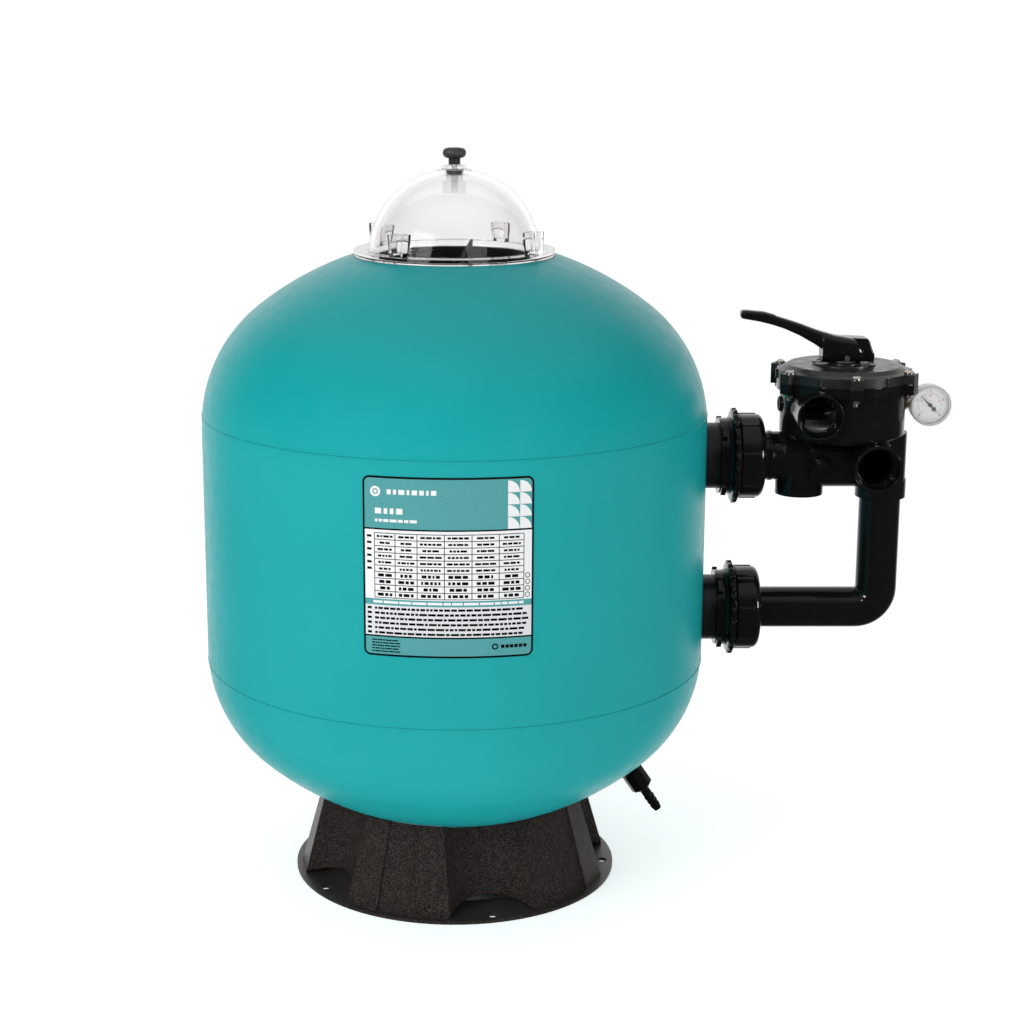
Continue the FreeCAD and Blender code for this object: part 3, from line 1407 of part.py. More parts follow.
def gauge_needle():
    """Pointer with a round tail on its arbor; at rest it points up and to the left."""
    rest = math.radians(135)
    blade_long = 16.0
    y0 = -10.4
    thick = 0.6

    def spot(along, across):
        x = D.gauge_x.value + along * math.cos(rest) - across * math.sin(rest)
        z = D.gauge_z.value + along * math.sin(rest) + across * math.cos(rest)
        return Vector(x, y0, z)

    outline = [spot(blade_long, 0.15), spot(0, 0.9), spot(-7, 0.7), spot(-7, -0.7), spot(0, -0.9),
               spot(blade_long, -0.15)]
    blade = Part.Face(Part.makePolygon(outline + [outline[0]])).extrude(Vector(0, -thick, 0))
    tail = Part.makeCylinder(2.6, thick, spot(-7, 0), Vector(0, -1, 0))
    boss = Part.makeCylinder(2.3, 1.4, spot(0, 0), Vector(0, -1, 0))
    arbor = Part.makeCylinder(0.9, 10, spot(0, 0) + Vector(0, 10, 0), Vector(0, -1, 0))
    return feature("gauge_needle", blade.fuse([tail, boss, arbor]).removeSplitter())


# ---------------------------------------------------------------- return pipe

def return_pipe():
    """One moulded pipe from the lower union, round a tight bend, up to the valve."""
    bend = D.pipe_radius + 0.6
    run_end = D.riser_x - bend
    top = 500.0
    start = TAIL_START
    low = D.port_low

    def leg_set(tag, radius, extra):
        curve = torus(f"return_{tag}_bend", bend, radius,
                      (run_end, 0, low + bend), BACK)
        window = block(f"return_{tag}_window", (run_end, -40, low - 40),
                       (D.riser_x + 40, 40, low + bend))
        return [
            cylinder(f"return_{tag}_run", radius, run_end - start + extra,
                     (start - extra, 0, low), ALONG_X),
            common(f"return_{tag}_corner", [curve, window]),
            cylinder(f"return_{tag}_rise", radius, top - low - bend + extra,
                     (D.riser_x, 0, low + bend)),
        ]

    outer = leg_set("outer", D.pipe_radius, 0)
    inner = leg_set("inner", D.pipe_bore, PAST)
    collar = cylinder("return_collar", 35, 5, (start, 0, low), ALONG_X)
    return cut("return_pipe", fuse("return_solid", outer + [collar]), inner)


# ---------------------------------------------------------------- build

def build():
    parts = [tank_shell(), data_plate(), base_skirt(), neck_collar(), lid_seal(), lid_dome()]
    parts += [relief_body(), relief_nut(), relief_knob(), relief_seal()]
    parts += ports()
    parts += inner_pipework()
    parts += drain_parts()
    parts += [valve_body(), cover_seal(), valve_cover(), cover_screws(), cover_nuts(), rotor()]
    parts += [spider_gasket(), valve_spring(), stem_seal(), thrust_washer(), handle_pin()]
    parts += [handle(), sight_glass(), sight_ring(), manifold_plug()]
    parts += gauge_parts()
    parts.append(return_pipe())
    return parts


def check(parts):
    """Stop if anything failed to compute."""
    for obj in doc.Objects:
        if "Invalid" in obj.State or "Error" in obj.State:
            raise RuntimeError(f"{obj.Label} failed: {obj.State}")
    for obj in parts:
        if obj.Shape.isNull() or not obj.Shape.isValid() or not obj.Shape.Solids:
            raise RuntimeError(f"{obj.Label} has no valid solid")


def main():
    parts = build()
    doc.recompute()
    check(parts)
    os.makedirs("parts", exist_ok=True)
    for obj in parts:
        obj.Shape.exportStep(os.path.join("parts", f"{obj.Label}.step"))
        print(f"{obj.Label}: {len(obj.Shape.Solids)} solid, {obj.Shape.Volume / 1000:.1f} cm3")


main()
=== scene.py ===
import json
import math
import random

import bpy
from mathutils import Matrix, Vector

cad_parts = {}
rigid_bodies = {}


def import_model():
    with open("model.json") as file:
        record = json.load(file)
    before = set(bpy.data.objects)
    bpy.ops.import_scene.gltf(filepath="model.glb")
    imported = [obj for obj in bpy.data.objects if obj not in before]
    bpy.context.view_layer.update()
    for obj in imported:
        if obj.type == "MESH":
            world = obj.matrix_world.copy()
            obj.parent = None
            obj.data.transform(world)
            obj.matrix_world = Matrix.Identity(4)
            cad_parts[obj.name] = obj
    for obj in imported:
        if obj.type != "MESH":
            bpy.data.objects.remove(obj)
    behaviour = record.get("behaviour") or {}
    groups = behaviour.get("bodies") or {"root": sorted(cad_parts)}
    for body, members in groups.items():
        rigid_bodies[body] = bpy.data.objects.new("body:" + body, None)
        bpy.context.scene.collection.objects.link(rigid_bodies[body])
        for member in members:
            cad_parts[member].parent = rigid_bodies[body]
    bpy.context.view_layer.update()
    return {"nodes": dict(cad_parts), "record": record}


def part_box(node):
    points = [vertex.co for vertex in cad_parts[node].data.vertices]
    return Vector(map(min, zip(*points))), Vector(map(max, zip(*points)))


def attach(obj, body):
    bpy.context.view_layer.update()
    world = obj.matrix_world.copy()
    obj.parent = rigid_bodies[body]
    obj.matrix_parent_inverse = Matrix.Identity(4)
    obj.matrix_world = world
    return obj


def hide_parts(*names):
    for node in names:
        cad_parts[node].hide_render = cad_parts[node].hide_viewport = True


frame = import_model()
NODES = frame["nodes"]

MM = 0.001
TANK_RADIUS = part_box("tank_shell")[1].x
DOME_RADIUS = 103.0 * MM          # the lid's flange lies outside this radius
FLANGE_THICK = 8.0 * MM
cover_low, cover_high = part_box("valve_cover")
VALVE_X = (cover_low.x + cover_high.x) / 2


# ---------------------------------------------------------------- materials

class Paint:
    """A procedural material: one Principled shader and short ways to feed it."""

    def __init__(self, name, settings):
        self.material = bpy.data.materials.new(name)
        self.material.use_nodes = True
        self.nodes = self.material.node_tree.nodes
        self.links = self.material.node_tree.links
        self.shader = self.nodes["Principled BSDF"]
        self.place = self.nodes.new("ShaderNodeTexCoord").outputs["Object"]
        for socket, value in settings.items():
            self.shader.inputs[socket].default_value = value

    def node(self, kind, output, inputs, **settings):
        """An output of a new node; each input is a socket to link or a plain value."""
        node = self.nodes.new("ShaderNode" + kind)
        for key, value in settings.items():
            setattr(node, key, value)
        for socket, value in inputs.items():
            if isinstance(value, bpy.types.NodeSocket):
                self.links.new(value, node.inputs[socket])
            else:
                node.inputs[socket].default_value = value
        return node.outputs[output]

    def noise(self, scale, detail=2.0, rough=0.5, place=None):
        return self.node("TexNoise", "Fac", {
            "Vector": place or self.place, "Scale": scale, "Detail": detail, "Roughness": rough})

    def stretch(self, x, y, z):
        """The place scaled by axis, for a grain that runs one way."""
        return self.node("Mapping", "Vector", {"Vector": self.place, "Scale": (x, y, z)})

    def math(self, operation, first, second):
        return self.node("Math", 0, {0: first, 1: second}, operation=operation)

    def spread(self, value, low, high, to_low, to_high):
        """Map a range of a value to another range, held at its ends."""
        return self.node("MapRange", "Result", {
            "Value": value, "From Min": low, "From Max": high, "To Min": to_low, "To Max": to_high})

    def mix(self, share, first, second):
        """Two colours mixed; the node has its colour sockets at these numbers."""
        return self.node("Mix", 2, {0: share, 6: first, 7: second}, data_type="RGBA")

    def length(self, vector):
        return self.node("VectorMath", "Value", {0: vector}, operation="LENGTH")

    def feed(self, socket, value):
        """Link a value to a socket of the shader."""
        self.links.new(value, self.shader.inputs[socket])

    def soft_edges(self, radius):
        """Normals that round the edges of a moulding by a small radius."""
        return self.node("Bevel", "Normal", {"Radius": radius}, samples=4)

    def bump(self, value, distance, strength=1.0, normal=None):
        inputs = {"Height": value, "Distance": distance, "Strength": strength}
        if normal is not None:
            inputs["Normal"] = normal
        return self.node("Bump", "Normal", inputs)


def tone(red, green, blue):
    return (red, green, blue, 1.0)


def gel_coat():
    """Glossy teal shell: orange peel, a slight cloudiness, and painted shade in corners, a darker
    tone where ambient occlusion finds nearby surfaces.
    """
    paint = Paint("gel_coat", {"IOR": 1.5, "Specular IOR Level": 0.22})
    cloud = paint.noise(7.0, 3.0)
    colour = paint.mix(cloud, tone(0.004, 0.345, 0.36), tone(0.010, 0.395, 0.41))
    fine = paint.noise(900.0, 2.0)
    colour = paint.mix(paint.spread(fine, 0.3, 0.7, 0.0, 0.10), colour, tone(0.03, 0.46, 0.46))
    # painted shade: the colour darkens where nearby surfaces close in, as near the stand and the
    # lid
    reach = 60.0 * MM
    openness = paint.node("AmbientOcclusion", "AO", {"Distance": reach}, samples=8,
                          only_local=False)
    painted_shade = paint.mix(0.55, colour, tone(0.0, 0.12, 0.13))
    paint.feed("Base Color", paint.mix(paint.spread(openness, 0.35, 0.9, 0.0, 1.0), painted_shade, colour))
    paint.feed("Roughness", paint.spread(paint.noise(60.0, 3.0), 0.3, 0.7, 0.30, 0.40))
    peel = paint.bump(paint.noise(260.0, 2.0), 0.08 * MM, 0.3)
    paint.feed("Normal", paint.bump(paint.noise(9.0, 0.0), 1.2 * MM, 0.15, peel))
    return paint


def moulded_black(name, rough_low, rough_high, edge, shade, shine=0.25):
    """Black moulding with soft edges and a faint flow grain."""
    paint = Paint(name, {"Specular IOR Level": shine})
    smudge = paint.noise(35.0, 4.0)
    light = shade * 1.9
    paint.feed("Base Color", paint.mix(
        smudge, tone(shade, shade, shade), tone(light, light * 0.93, light * 0.9)))
    paint.feed("Roughness", paint.spread(paint.noise(90.0, 4.0), 0.35, 0.7, rough_low, rough_high))
    soft = paint.soft_edges(edge)
    paint.feed("Normal", paint.bump(paint.noise(700.0, 2.0), 0.06 * MM, 0.5, soft))
    return paint


def grained_base():
    """Coarse spark-eroded grain, near black with light specks on the grain's tips."""
    paint = Paint("grained_base", {"Specular IOR Level": 0.45})
    grain = paint.noise(780.0, 3.0, 0.7)
    specks = paint.spread(grain, 0.50, 0.66, 0.0, 0.95)
    cloud = paint.noise(14.0, 3.0)
    dark = paint.mix(cloud, tone(0.007, 0.0055, 0.0048), tone(0.016, 0.012, 0.0105))
    paint.feed("Base Color", paint.mix(specks, dark, tone(0.15, 0.115, 0.10)))
    paint.feed("Roughness", paint.spread(grain, 0.35, 0.65, 0.26, 0.42))
    soft = paint.soft_edges(2.0 * MM)
    paint.feed("Normal", paint.bump(grain, 0.6 * MM, 0.8, soft))
    return paint


def thin_clear(name, colour, alpha):
    """A clear piece that lets nearly all light straight through."""
    paint = Paint(name, {"Alpha": alpha, "Base Color": colour})
    paint.feed("Roughness", paint.spread(paint.noise(40.0, 3.0), 0.3, 0.7, 0.02, 0.05))
    return paint


def clear_plastic(name, colour, rough, edge):
    """Clear polycarbonate with a faint moulded ripple."""
    paint = Paint(name, {"Transmission Weight": 1.0, "IOR": 1.46, "Base Color": colour})
    paint.feed("Roughness", paint.spread(paint.noise(40.0, 3.0), 0.3, 0.7, rough, rough * 2.5))
    soft = paint.soft_edges(edge)
    paint.feed("Normal", paint.bump(paint.noise(45.0, 1.0), 0.4 * MM, 0.15, soft))
    return paint


def lid_plastic():
    """Clear lid: a faint warm dome, and turned rings on its flange."""
    paint = clear_plastic("clear_lid", tone(0.97, 0.965, 0.96), 0.015, 0.8 * MM)
    radius = paint.length(paint.stretch(1.0, 1.0, 0.0))
    rings = paint.noise(330.0, 3.0, 0.6, paint.node("CombineXYZ", "Vector", {"X": radius}))
    lid_node = NODES["lid_dome"]
    flange_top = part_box("lid_dome")[0].z + FLANGE_THICK - lid_node.matrix_world.translation.z
    height = paint.node("SeparateXYZ", "Z", {"Vector": paint.place})
    outside = paint.spread(radius, DOME_RADIUS, DOME_RADIUS + 1.5 * MM, 0.0, 1.0)
    below = paint.spread(height, flange_top, flange_top + 0.5 * MM, 1.0, 0.0)
    flange = paint.math("MULTIPLY", outside, below)
    share = paint.math("MULTIPLY", flange, paint.spread(rings, 0.42, 0.60, 0.0, 1.0))
    paint.feed("Base Color", paint.mix(share, tone(0.97, 0.962, 0.962), tone(0.12, 0.115, 0.12)))
    return paint


def metal(name, low, high, rough, metallic=1.0):
    """Metal with a fine mottle in its tone and polish."""
    paint = Paint(name, {"Metallic": metallic})
    streak = paint.noise(420.0, 4.0, 0.6)
    paint.feed("Base Color", paint.mix(streak, low, high))
    paint.feed("Roughness", paint.spread(streak, 0.3, 0.7, rough, rough * 1.7))
    soft = paint.soft_edges(0.3 * MM)
    paint.feed("Normal", paint.bump(streak, 0.05 * MM, 0.4, soft))
    return paint


def plain_matte(name, low, high, rough, scale=300.0, depth=0.1 * MM, shine=0.4):
    """A matte or rubbery finish with a slight mottle and grain."""
    paint = Paint(name, {"Specular IOR Level": shine})
    mottle = paint.noise(scale, 4.0, 0.6)
    paint.feed("Base Color", paint.mix(mottle, low, high))
    paint.feed("Roughness", paint.spread(mottle, 0.3, 0.7, rough * 0.85, min(1.0, rough * 1.15)))
    paint.feed("Normal", paint.bump(mottle, depth, 0.5))
    return paint


def film(name, low, high, rough=0.3, shine=0.4):
    """Printed film: plain and nearly flat."""
    return plain_matte(name, low, high, rough, 500.0, 0.03 * MM, shine)


GEL_COAT = gel_coat().material
BLACK = moulded_black("moulded_black", 0.08, 0.17, 1.8 * MM, 0.0022).material
SATIN_BLACK = moulded_black("satin_black", 0.3, 0.42, 0.8 * MM, 0.004).material
COVER_BLACK = moulded_black("cover_black", 0.24, 0.4, 1.4 * MM, 0.006, 0.35).material
KNOB_BLACK = moulded_black("knob_black", 0.45, 0.6, 0.4 * MM, 0.016, 0.35).material
BASE_GRAIN = grained_base().material
CLEAR = clear_plastic("clear_polycarbonate", tone(0.97, 0.965, 0.96), 0.015, 0.8 * MM).material
LID = lid_plastic().material
FROSTED = thin_clear("frosted_relief", tone(0.80, 0.78, 0.78), 0.14).material
LENS = thin_clear("gauge_lens_clear", tone(0.9, 0.92, 0.93), 0.08).material
STEEL = metal("bright_steel", tone(0.50, 0.46, 0.41), tone(0.74, 0.69, 0.62), 0.18).material
NICKEL = metal("satin_nickel", tone(0.70, 0.71, 0.73), tone(0.88, 0.89, 0.91), 0.3, 0.35).material
BRASS = metal("machined_brass", tone(0.55, 0.36, 0.15), tone(0.78, 0.56, 0.28), 0.22).material
RUBBER = plain_matte(
    "rubber", tone(0.012, 0.012, 0.012), tone(0.03, 0.03, 0.03), 0.7).material
PIPE_WHITE = plain_matte(
    "pipe_white", tone(0.62, 0.62, 0.58), tone(0.78, 0.78, 0.74), 0.5, 80.0).material
DIAL_WHITE = plain_matte(
    "dial_white", tone(0.92, 0.92, 0.93), tone(0.97, 0.97, 0.97), 0.5).material
POINTER = plain_matte(
    "pointer_black", tone(0.006, 0.006, 0.006), tone(0.014, 0.014, 0.014), 0.3).material
FILM_WHITE = film("film_white", tone(0.83, 0.84, 0.85), tone(0.90, 0.91, 0.92)).material
FILM_GREY = film("film_grey", tone(0.70, 0.71, 0.73), tone(0.78, 0.79, 0.81)).material
FILM_TEAL = film("film_teal", tone(0.075, 0.33, 0.345), tone(0.09, 0.375, 0.39)).material
INK = film("ink_black", tone(0.002, 0.002, 0.002), tone(0.005, 0.005, 0.005), 0.32, 0.05).material
INK_RED = film("ink_red", tone(0.62, 0.10, 0.09), tone(0.75, 0.16, 0.14), 0.4).material

FINISH = {
    "shell": GEL_COAT,
    "plate": FILM_WHITE,
    "base": BASE_GRAIN,
    "clear_plastic": CLEAR,
    "gauge_glass": LENS,
    "black_plastic": BLACK,
    "sleeve": SATIN_BLACK,
    "rubber": RUBBER,
    "pipe_plastic": PIPE_WHITE,
    "steel": STEEL,
    "brass": BRASS,
    "gauge_steel": NICKEL,
    "dial_white": DIAL_WHITE,
    "pointer_black": POINTER,
}

# nodes whose finish differs from the one of their slot
OWN_FINISH = {
    "lid_dome": LID,
    "valve_cover": COVER_BLACK,
    "thrust_washer": BLACK,
    "relief_body": FROSTED,
    "relief_seal": FROSTED,
}


def finish_nodes():
    """Give every CAD node the finish of its slot, or its own."""
    for part in frame["record"]["subparts"]:
        name = part["node"]
        node = NODES[name]
        node.data.materials.clear()
        node.data.materials.append(OWN_FINISH.get(name, FINISH[part["material_slot"]]))


# ---------------------------------------------------------------- mesh helpers

def piece(name, verts, faces, materials, body, stands_for=(), picks=None, crease=30.0):
    """One visible piece from points and faces; picks gives each face's material."""
    mesh = bpy.data.meshes.new(name)
    mesh.from_pydata([tuple(v) for v in verts], [], faces)
    for material in materials:
        mesh.materials.append(material)
    if picks:
        mesh.polygons.foreach_set("material_index", picks)
    mesh.polygons.foreach_set("use_smooth", [True] * len(mesh.polygons))
    mesh.update()
    mesh.set_sharp_from_angle(angle=math.radians(crease))
    obj = bpy.data.objects.new(name, mesh)
    bpy.context.scene.collection.objects.link(obj)
    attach(obj, body)
    if stands_for:
        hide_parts(*stands_for)
    return obj


# ---------------------------------------------------------------- data plate

PLATE_CENTRE = math.radians(-1.2)     # azimuth of the plate's middle, from the front
# in millimetres
PLATE_WIDE = 188.8
FILM_LIFT = 0.04                      # from the shell to the lowest layer
LAYER = 0.03                          # from one layer of print to the next
COLUMN = 4.0                          # longest straight step round the shell


class Print:
    """Flat print wrapped on the shell: millimetres across (u) and up (v) from a corner."""

    def __init__(self, low_z, radius):
        self.low_z = low_z
        self.radius = radius
        self.verts = []
        self.faces = []
        self.picks = []

    def point(self, u, v, layer):
        reach = self.radius + layer * LAYER * MM
        turn = PLATE_CENTRE + (u - PLATE_WIDE / 2) * MM / self.radius
        return (reach * math.sin(turn), -reach * math.cos(turn), self.low_z + v * MM)

    def strip(self, columns, layer, ink):
        """A strip through (u, v_low, v_high) columns."""
        start = len(self.verts)
        for u, v_low, v_high in columns:
            self.verts.append(self.point(u, v_low, layer))
            self.verts.append(self.point(u, v_high, layer))
        for number in range(len(columns) - 1):
            at = start + 2 * number
            self.faces.append((at, at + 2, at + 3, at + 1))
            self.picks.append(ink)

    def bar(self, u_low, u_high, v_low, v_high, layer, ink):
        count = max(1, math.ceil((u_high - u_low) / COLUMN))
        step = (u_high - u_low) / count
        self.strip([(u_low + step * n, v_low, v_high) for n in range(count + 1)], layer, ink)

    def rounded(self, u_low, u_high, v_low, v_high, radius, layer, ink):
        """A bar whose four corners are round."""
        us = [u_low + radius * (1 - math.cos(math.radians(a))) for a in range(0, 91, 10)]
        count = math.ceil((u_high - u_low - 2 * radius) / COLUMN)
        step = (u_high - u_low - 2 * radius) / count
        us += [u_low + radius + step * n for n in range(1, count)]
        us += [u_high - radius * (1 - math.cos(math.radians(a))) for a in range(90, -1, -10)]
        columns = []
        for u in us:
            inset = max(0.0, radius - min(u - u_low, u_high - u))
            drop = radius - math.sqrt(max(0.0, radius * radius - inset * inset))
            columns.append((u, v_low + drop, v_high - drop))
        self.strip(columns, layer, ink)

    def sector(self, u, v, radius, start, stop, layer, ink, inner=0.0):
        """Part of a disc or ring, from one angle in degrees to another."""
        step = 15
        count = max(3, math.ceil((stop - start) / step))
        first = len(self.verts)
        for number in range(count + 1):
            turn = math.radians(start + (stop - start) * number / count)
            for reach in (inner, radius):
                self.verts.append(
                    self.point(u + reach * math.cos(turn), v + reach * math.sin(turn), layer))
        for number in range(count):
            at = first + 2 * number
            self.faces.append((at, at + 1, at + 3, at + 2))
            self.picks.append(ink)

    def words(self, u_low, u_high, v, tall, layer, ink, draw, longest=7.0, centred=False):
        """A line of text as plain bars of uneven length."""
        shortest, space = 0.28, 0.45 * tall
        spans = []
        u = u_low
        while True:
            long = draw.uniform(shortest, 1.0) * longest
            if u + long > u_high:
                break
            spans.append((u, u + long))
            u += long + space
        if not spans:
            spans = [(u_low, u_high)]
        shift = (u_high - spans[-1][1]) / 2 if centred else 0.0
        for first, last in spans:
            self.bar(first + shift, last + shift, v, v + tall, layer, ink)


def data_plate():
    """Film with a black frame, a header, a table, a text block and a footer, all generic."""
    low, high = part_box("data_plate")
    tall = (high.z - low.z) / MM
    sheet = Print(low.z, TANK_RADIUS + FILM_LIFT * MM)
    black, white, teal, grey = range(4)
    draw = random.Random(7)
    ink_layer = 4
    border, corner = 2.2, 7.5
    left, right = border, PLATE_WIDE - border
    footer_line, band_low, band_high, header_line = 22.8, 58.1, 65.1, 143.7
    line_half = 0.9
    sheet.rounded(0, PLATE_WIDE, 0, tall, corner, 0, black)
    sheet.rounded(left, right, border, tall - border, corner - border, 1, teal)
    sheet.bar(left, right, footer_line - line_half, header_line + line_half, 2, black)
    sheet.bar(left, right, band_high, header_line - line_half, 3, white)
    sheet.bar(left, right, footer_line + line_half, band_low, 3, grey)
    sheet.bar(left, right, band_low, band_high, 3, teal)

    # header: a plain ring mark, then a row of blocks for a title and two thinner rows
    mark_u, mark_v = 14.5, tall - 17.0
    title_tall = 5.4
    sheet.sector(mark_u, mark_v, 5.8, 0, 360, ink_layer, white, 3.2)
    sheet.sector(mark_u, mark_v, 1.8, 0, 360, ink_layer, white)
    sheet.words(27.5, 86.0, mark_v - title_tall / 2, title_tall, ink_layer, white, draw, 9.0)
    sheet.words(14.0, 52.0, header_line + 17.0, 6.4, ink_layer, white, draw, 12.0)
    sheet.words(14.0, 64.0, header_line + 8.0, 3.2, ink_layer, white, draw, 8.0)

    # right end of the header: two columns of quarter discs
    pattern_left, pattern_low = 159.6, header_line + 1.2
    size = (right - pattern_left) / 2
    for row in range(4):
        for column in range(2):
            sheet.sector(pattern_left + column * size, pattern_low + row * size, size - 0.4,
                         0, 90, ink_layer, white)

    # table: ten rows by six columns, small marks on the left, rings on the right
    columns = [13.2, 36.4, 60.7, 90.5, 120.4, 150.2, 177.7]
    rows, strong_rows = 10, 4
    base, ceiling = 66.6, 139.2
    pitch = (ceiling - base) / rows
    rule_half = 0.42
    ring_u, ring_out, ring_in = 182.0, 2.9, 2.1
    tag_left = 4.6
    for row in range(rows + 1):
        v = base + row * pitch
        sheet.bar(columns[0], columns[-1], v - rule_half, v + rule_half, ink_layer, black)
    for u in columns:
        sheet.bar(u - rule_half, u + rule_half, base, ceiling, ink_layer, black)
    for row in range(rows):
        v = base + row * pitch
        strong = row < strong_rows
        inset, rise, letter = (3.4, 1.9, 3.4) if strong else (2.6, 2.4, 2.4)
        for start, stop in zip(columns, columns[1:]):
            sheet.words(start + inset, stop - inset, v + rise, letter, ink_layer, black, draw,
                        7.5, True)
        if strong:
            sheet.sector(ring_u, v + pitch / 2, ring_out, 0, 360, ink_layer, black, ring_in)
        else:
            sheet.bar(tag_left, 9.8, v + 2.2, v + 4.8, ink_layer, black)

    # band of white words, and the text block below it
    sheet.words(7.0, 182.0, band_low + 2.2, 2.8, ink_layer + 1, white, draw, 17.0, True)
    lines = 6
    step = (band_low - footer_line - 2.0) / lines
    for number in range(lines):
        v = footer_line + 2.6 + number * step
        sheet.bar(tag_left, 9.4, v, v + 2.7, ink_layer, black)
        sheet.words(13.0, 184.5, v, 2.6, ink_layer, black, draw, 9.5)

    # footer: small print on the left, a plain ring and blocks on the right
    for number in range(5):
        sheet.words(9.5, 42.0, 4.6 + number * 3.2, 1.5, 2, black, draw, 8.0)
    sheet.sector(146.0, 12.5, 3.6, 0, 360, 2, black, 2.0)
    for number in range(6):
        start = 152.5 + number * 5.0
        sheet.bar(start, start + 3.9, 10.6, 14.4, 2, black)
    piece("data_plate_print", sheet.verts, sheet.faces, [INK, FILM_WHITE, FILM_TEAL, FILM_GREY],
          "filter", ["data_plate"], sheet.picks)


# ---------------------------------------------------------------- turned and lofted pieces

def turned(profile, count, reach=None):
    """Points and faces of an outline of (radius, height) turned about Z, in millimetres.

    reach gives a factor on the radius from the angle and the point's number.
    """
    verts = []
    for number, (radius, height) in enumerate(profile):
        for step in range(count):
            turn = 2 * math.pi * step / count
            wide = radius * (reach(turn, number) if reach else 1.0)
            verts.append((wide * math.cos(turn) * MM, wide * math.sin(turn) * MM, height * MM))
    faces = []
    for number in range(len(profile) - 1):
        low, high = number * count, (number + 1) * count
        for step in range(count):
            after = (step + 1) % count
            faces.append((low + step, low + after, high + after, high + step))
    return verts, faces


def lofted(rings):
    """Skin through rings of points, closed at both ends."""
    count = len(rings[0])
    verts = [point for one in rings for point in one]
    faces = [tuple(reversed(range(count)))]
    for number in range(len(rings) - 1):
        low, high = number * count, (number + 1) * count
        for step in range(count):
            after = (step + 1) % count
            faces.append((low + step, low + after, high + after, high + step))
    faces.append(tuple(range(len(verts) - count, len(verts))))
    return verts, faces


def slab(outline, y_low, y_high):
    """An outline of (across, height) millimetres beside the valve's axis, thickened along Y."""
    rings = []
    for y in (y_low, y_high):
        rings.append([(VALVE_X + across * MM, y * MM, height * MM) for across, height in outline])
    return lofted(rings)


def soften(obj, width):
    """Round every hard edge of a piece by a width in millimetres."""
    bevel = obj.modifiers.new("soften", "BEVEL")
    bevel.width = width * MM
    bevel.segments = 4
    bevel.limit_method = "ANGLE"
    bevel.angle_limit = math.radians(28)


def between(table, place):
    """Read a table of (place, value) pairs by straight lines."""
    for (first, low), (last, high) in zip(table, table[1:]):
        if place <= last:
            return low + (high - low) * (place - first) / (last - first)
    return table[-1][1]


def lever():
    """Push-down handle: an arm that swells into the hub, and a stepped rear cheek."""
    box_low, box_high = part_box("handle")
    heel = box_low.z / MM
    # the arm's top, underside and half width, by place along the arm from the valve's axis
    above = [(-127.0, 701.0), (-126.0, 703.6), (-123.5, 704.3), (-118.4, 704.3), (-99.1, 702.5),
             (-86.0, 699.0), (-84.5, 697.6), (-78.2, 695.6), (-55.9, 688.6), (-36.3, 681.2),
             (-13.9, 674.6), (0.0, 672.4), (8.9, 670.6), (16.1, 665.2), (20.0, 659.0),
             (21.9, 652.0)]
    below = [(-127.0, 696.2), (-126.0, 694.4), (-123.5, 693.6), (-105.6, 690.5), (-88.9, 686.5),
             (-73.5, 681.4), (-55.3, 673.3), (-38.3, 663.8), (-28.9, 657.6), (-28.6, heel),
             (21.9, heel)]
    wide = [(-127.0, 7.2), (-126.0, 8.8), (-123.5, 9.6), (-99.0, 10.2), (-86.0, 10.4),
            (-84.5, 9.7), (-50.0, 10.8), (-38.0, 12.5), (-26.0, 16.0), (-14.0, 18.2),
            (0.0, 18.9), (12.0, 18.9), (18.0, 17.6), (21.9, 14.5)]
    stations = [-127.0, -126.0, -123.5, -118.4, -112, -105.6, -99.1, -92, -86.0, -84.5, -78.2,
                -73.5, -64, -55.6, -46, -38.3, -33, -28.9, -28.6, -24, -19, -13.9, -7, 0.0, 5.0,
                8.9, 12.5, 16.1, 18.4, 20.0, 21.2, 21.9]
    roundness = 3.2          # exponent of the section: 2 is an ellipse, more is squarer
    power = 2 / roundness
    corners = 28
    rings = []
    for place in stations:
        top, bottom, half = (between(table, place) for table in (above, below, wide))
        middle, rise = (top + bottom) / 2, (top - bottom) / 2
        points = []
        for step in range(corners):
            turn = 2 * math.pi * step / corners
            side, lift = math.cos(turn), math.sin(turn)
            y = half * math.copysign(abs(side) ** power, side)
            z = middle + rise * math.copysign(abs(lift) ** power, lift)
            points.append((VALVE_X + place * MM, y * MM, z * MM))
        rings.append(points)
    verts, faces = lofted(rings)
    piece("lever_arm", verts, faces, [BLACK], "lever", ["handle"])

    rear_face = (box_high.y - 0.01 * MM) / MM
    front_face = -7.0
    rear = [(-12.0, heel), (35.0, heel), (35.2, 651.0), (32.4, 657.0), (29.4, 666.0),
            (26.5, 670.2), (0.0, 671.4), (-12.0, 671.4)]
    verts, faces = slab(rear, front_face, rear_face)
    soften(piece("lever_cheek_rear", verts, faces, [BLACK], "lever"), 1.4)


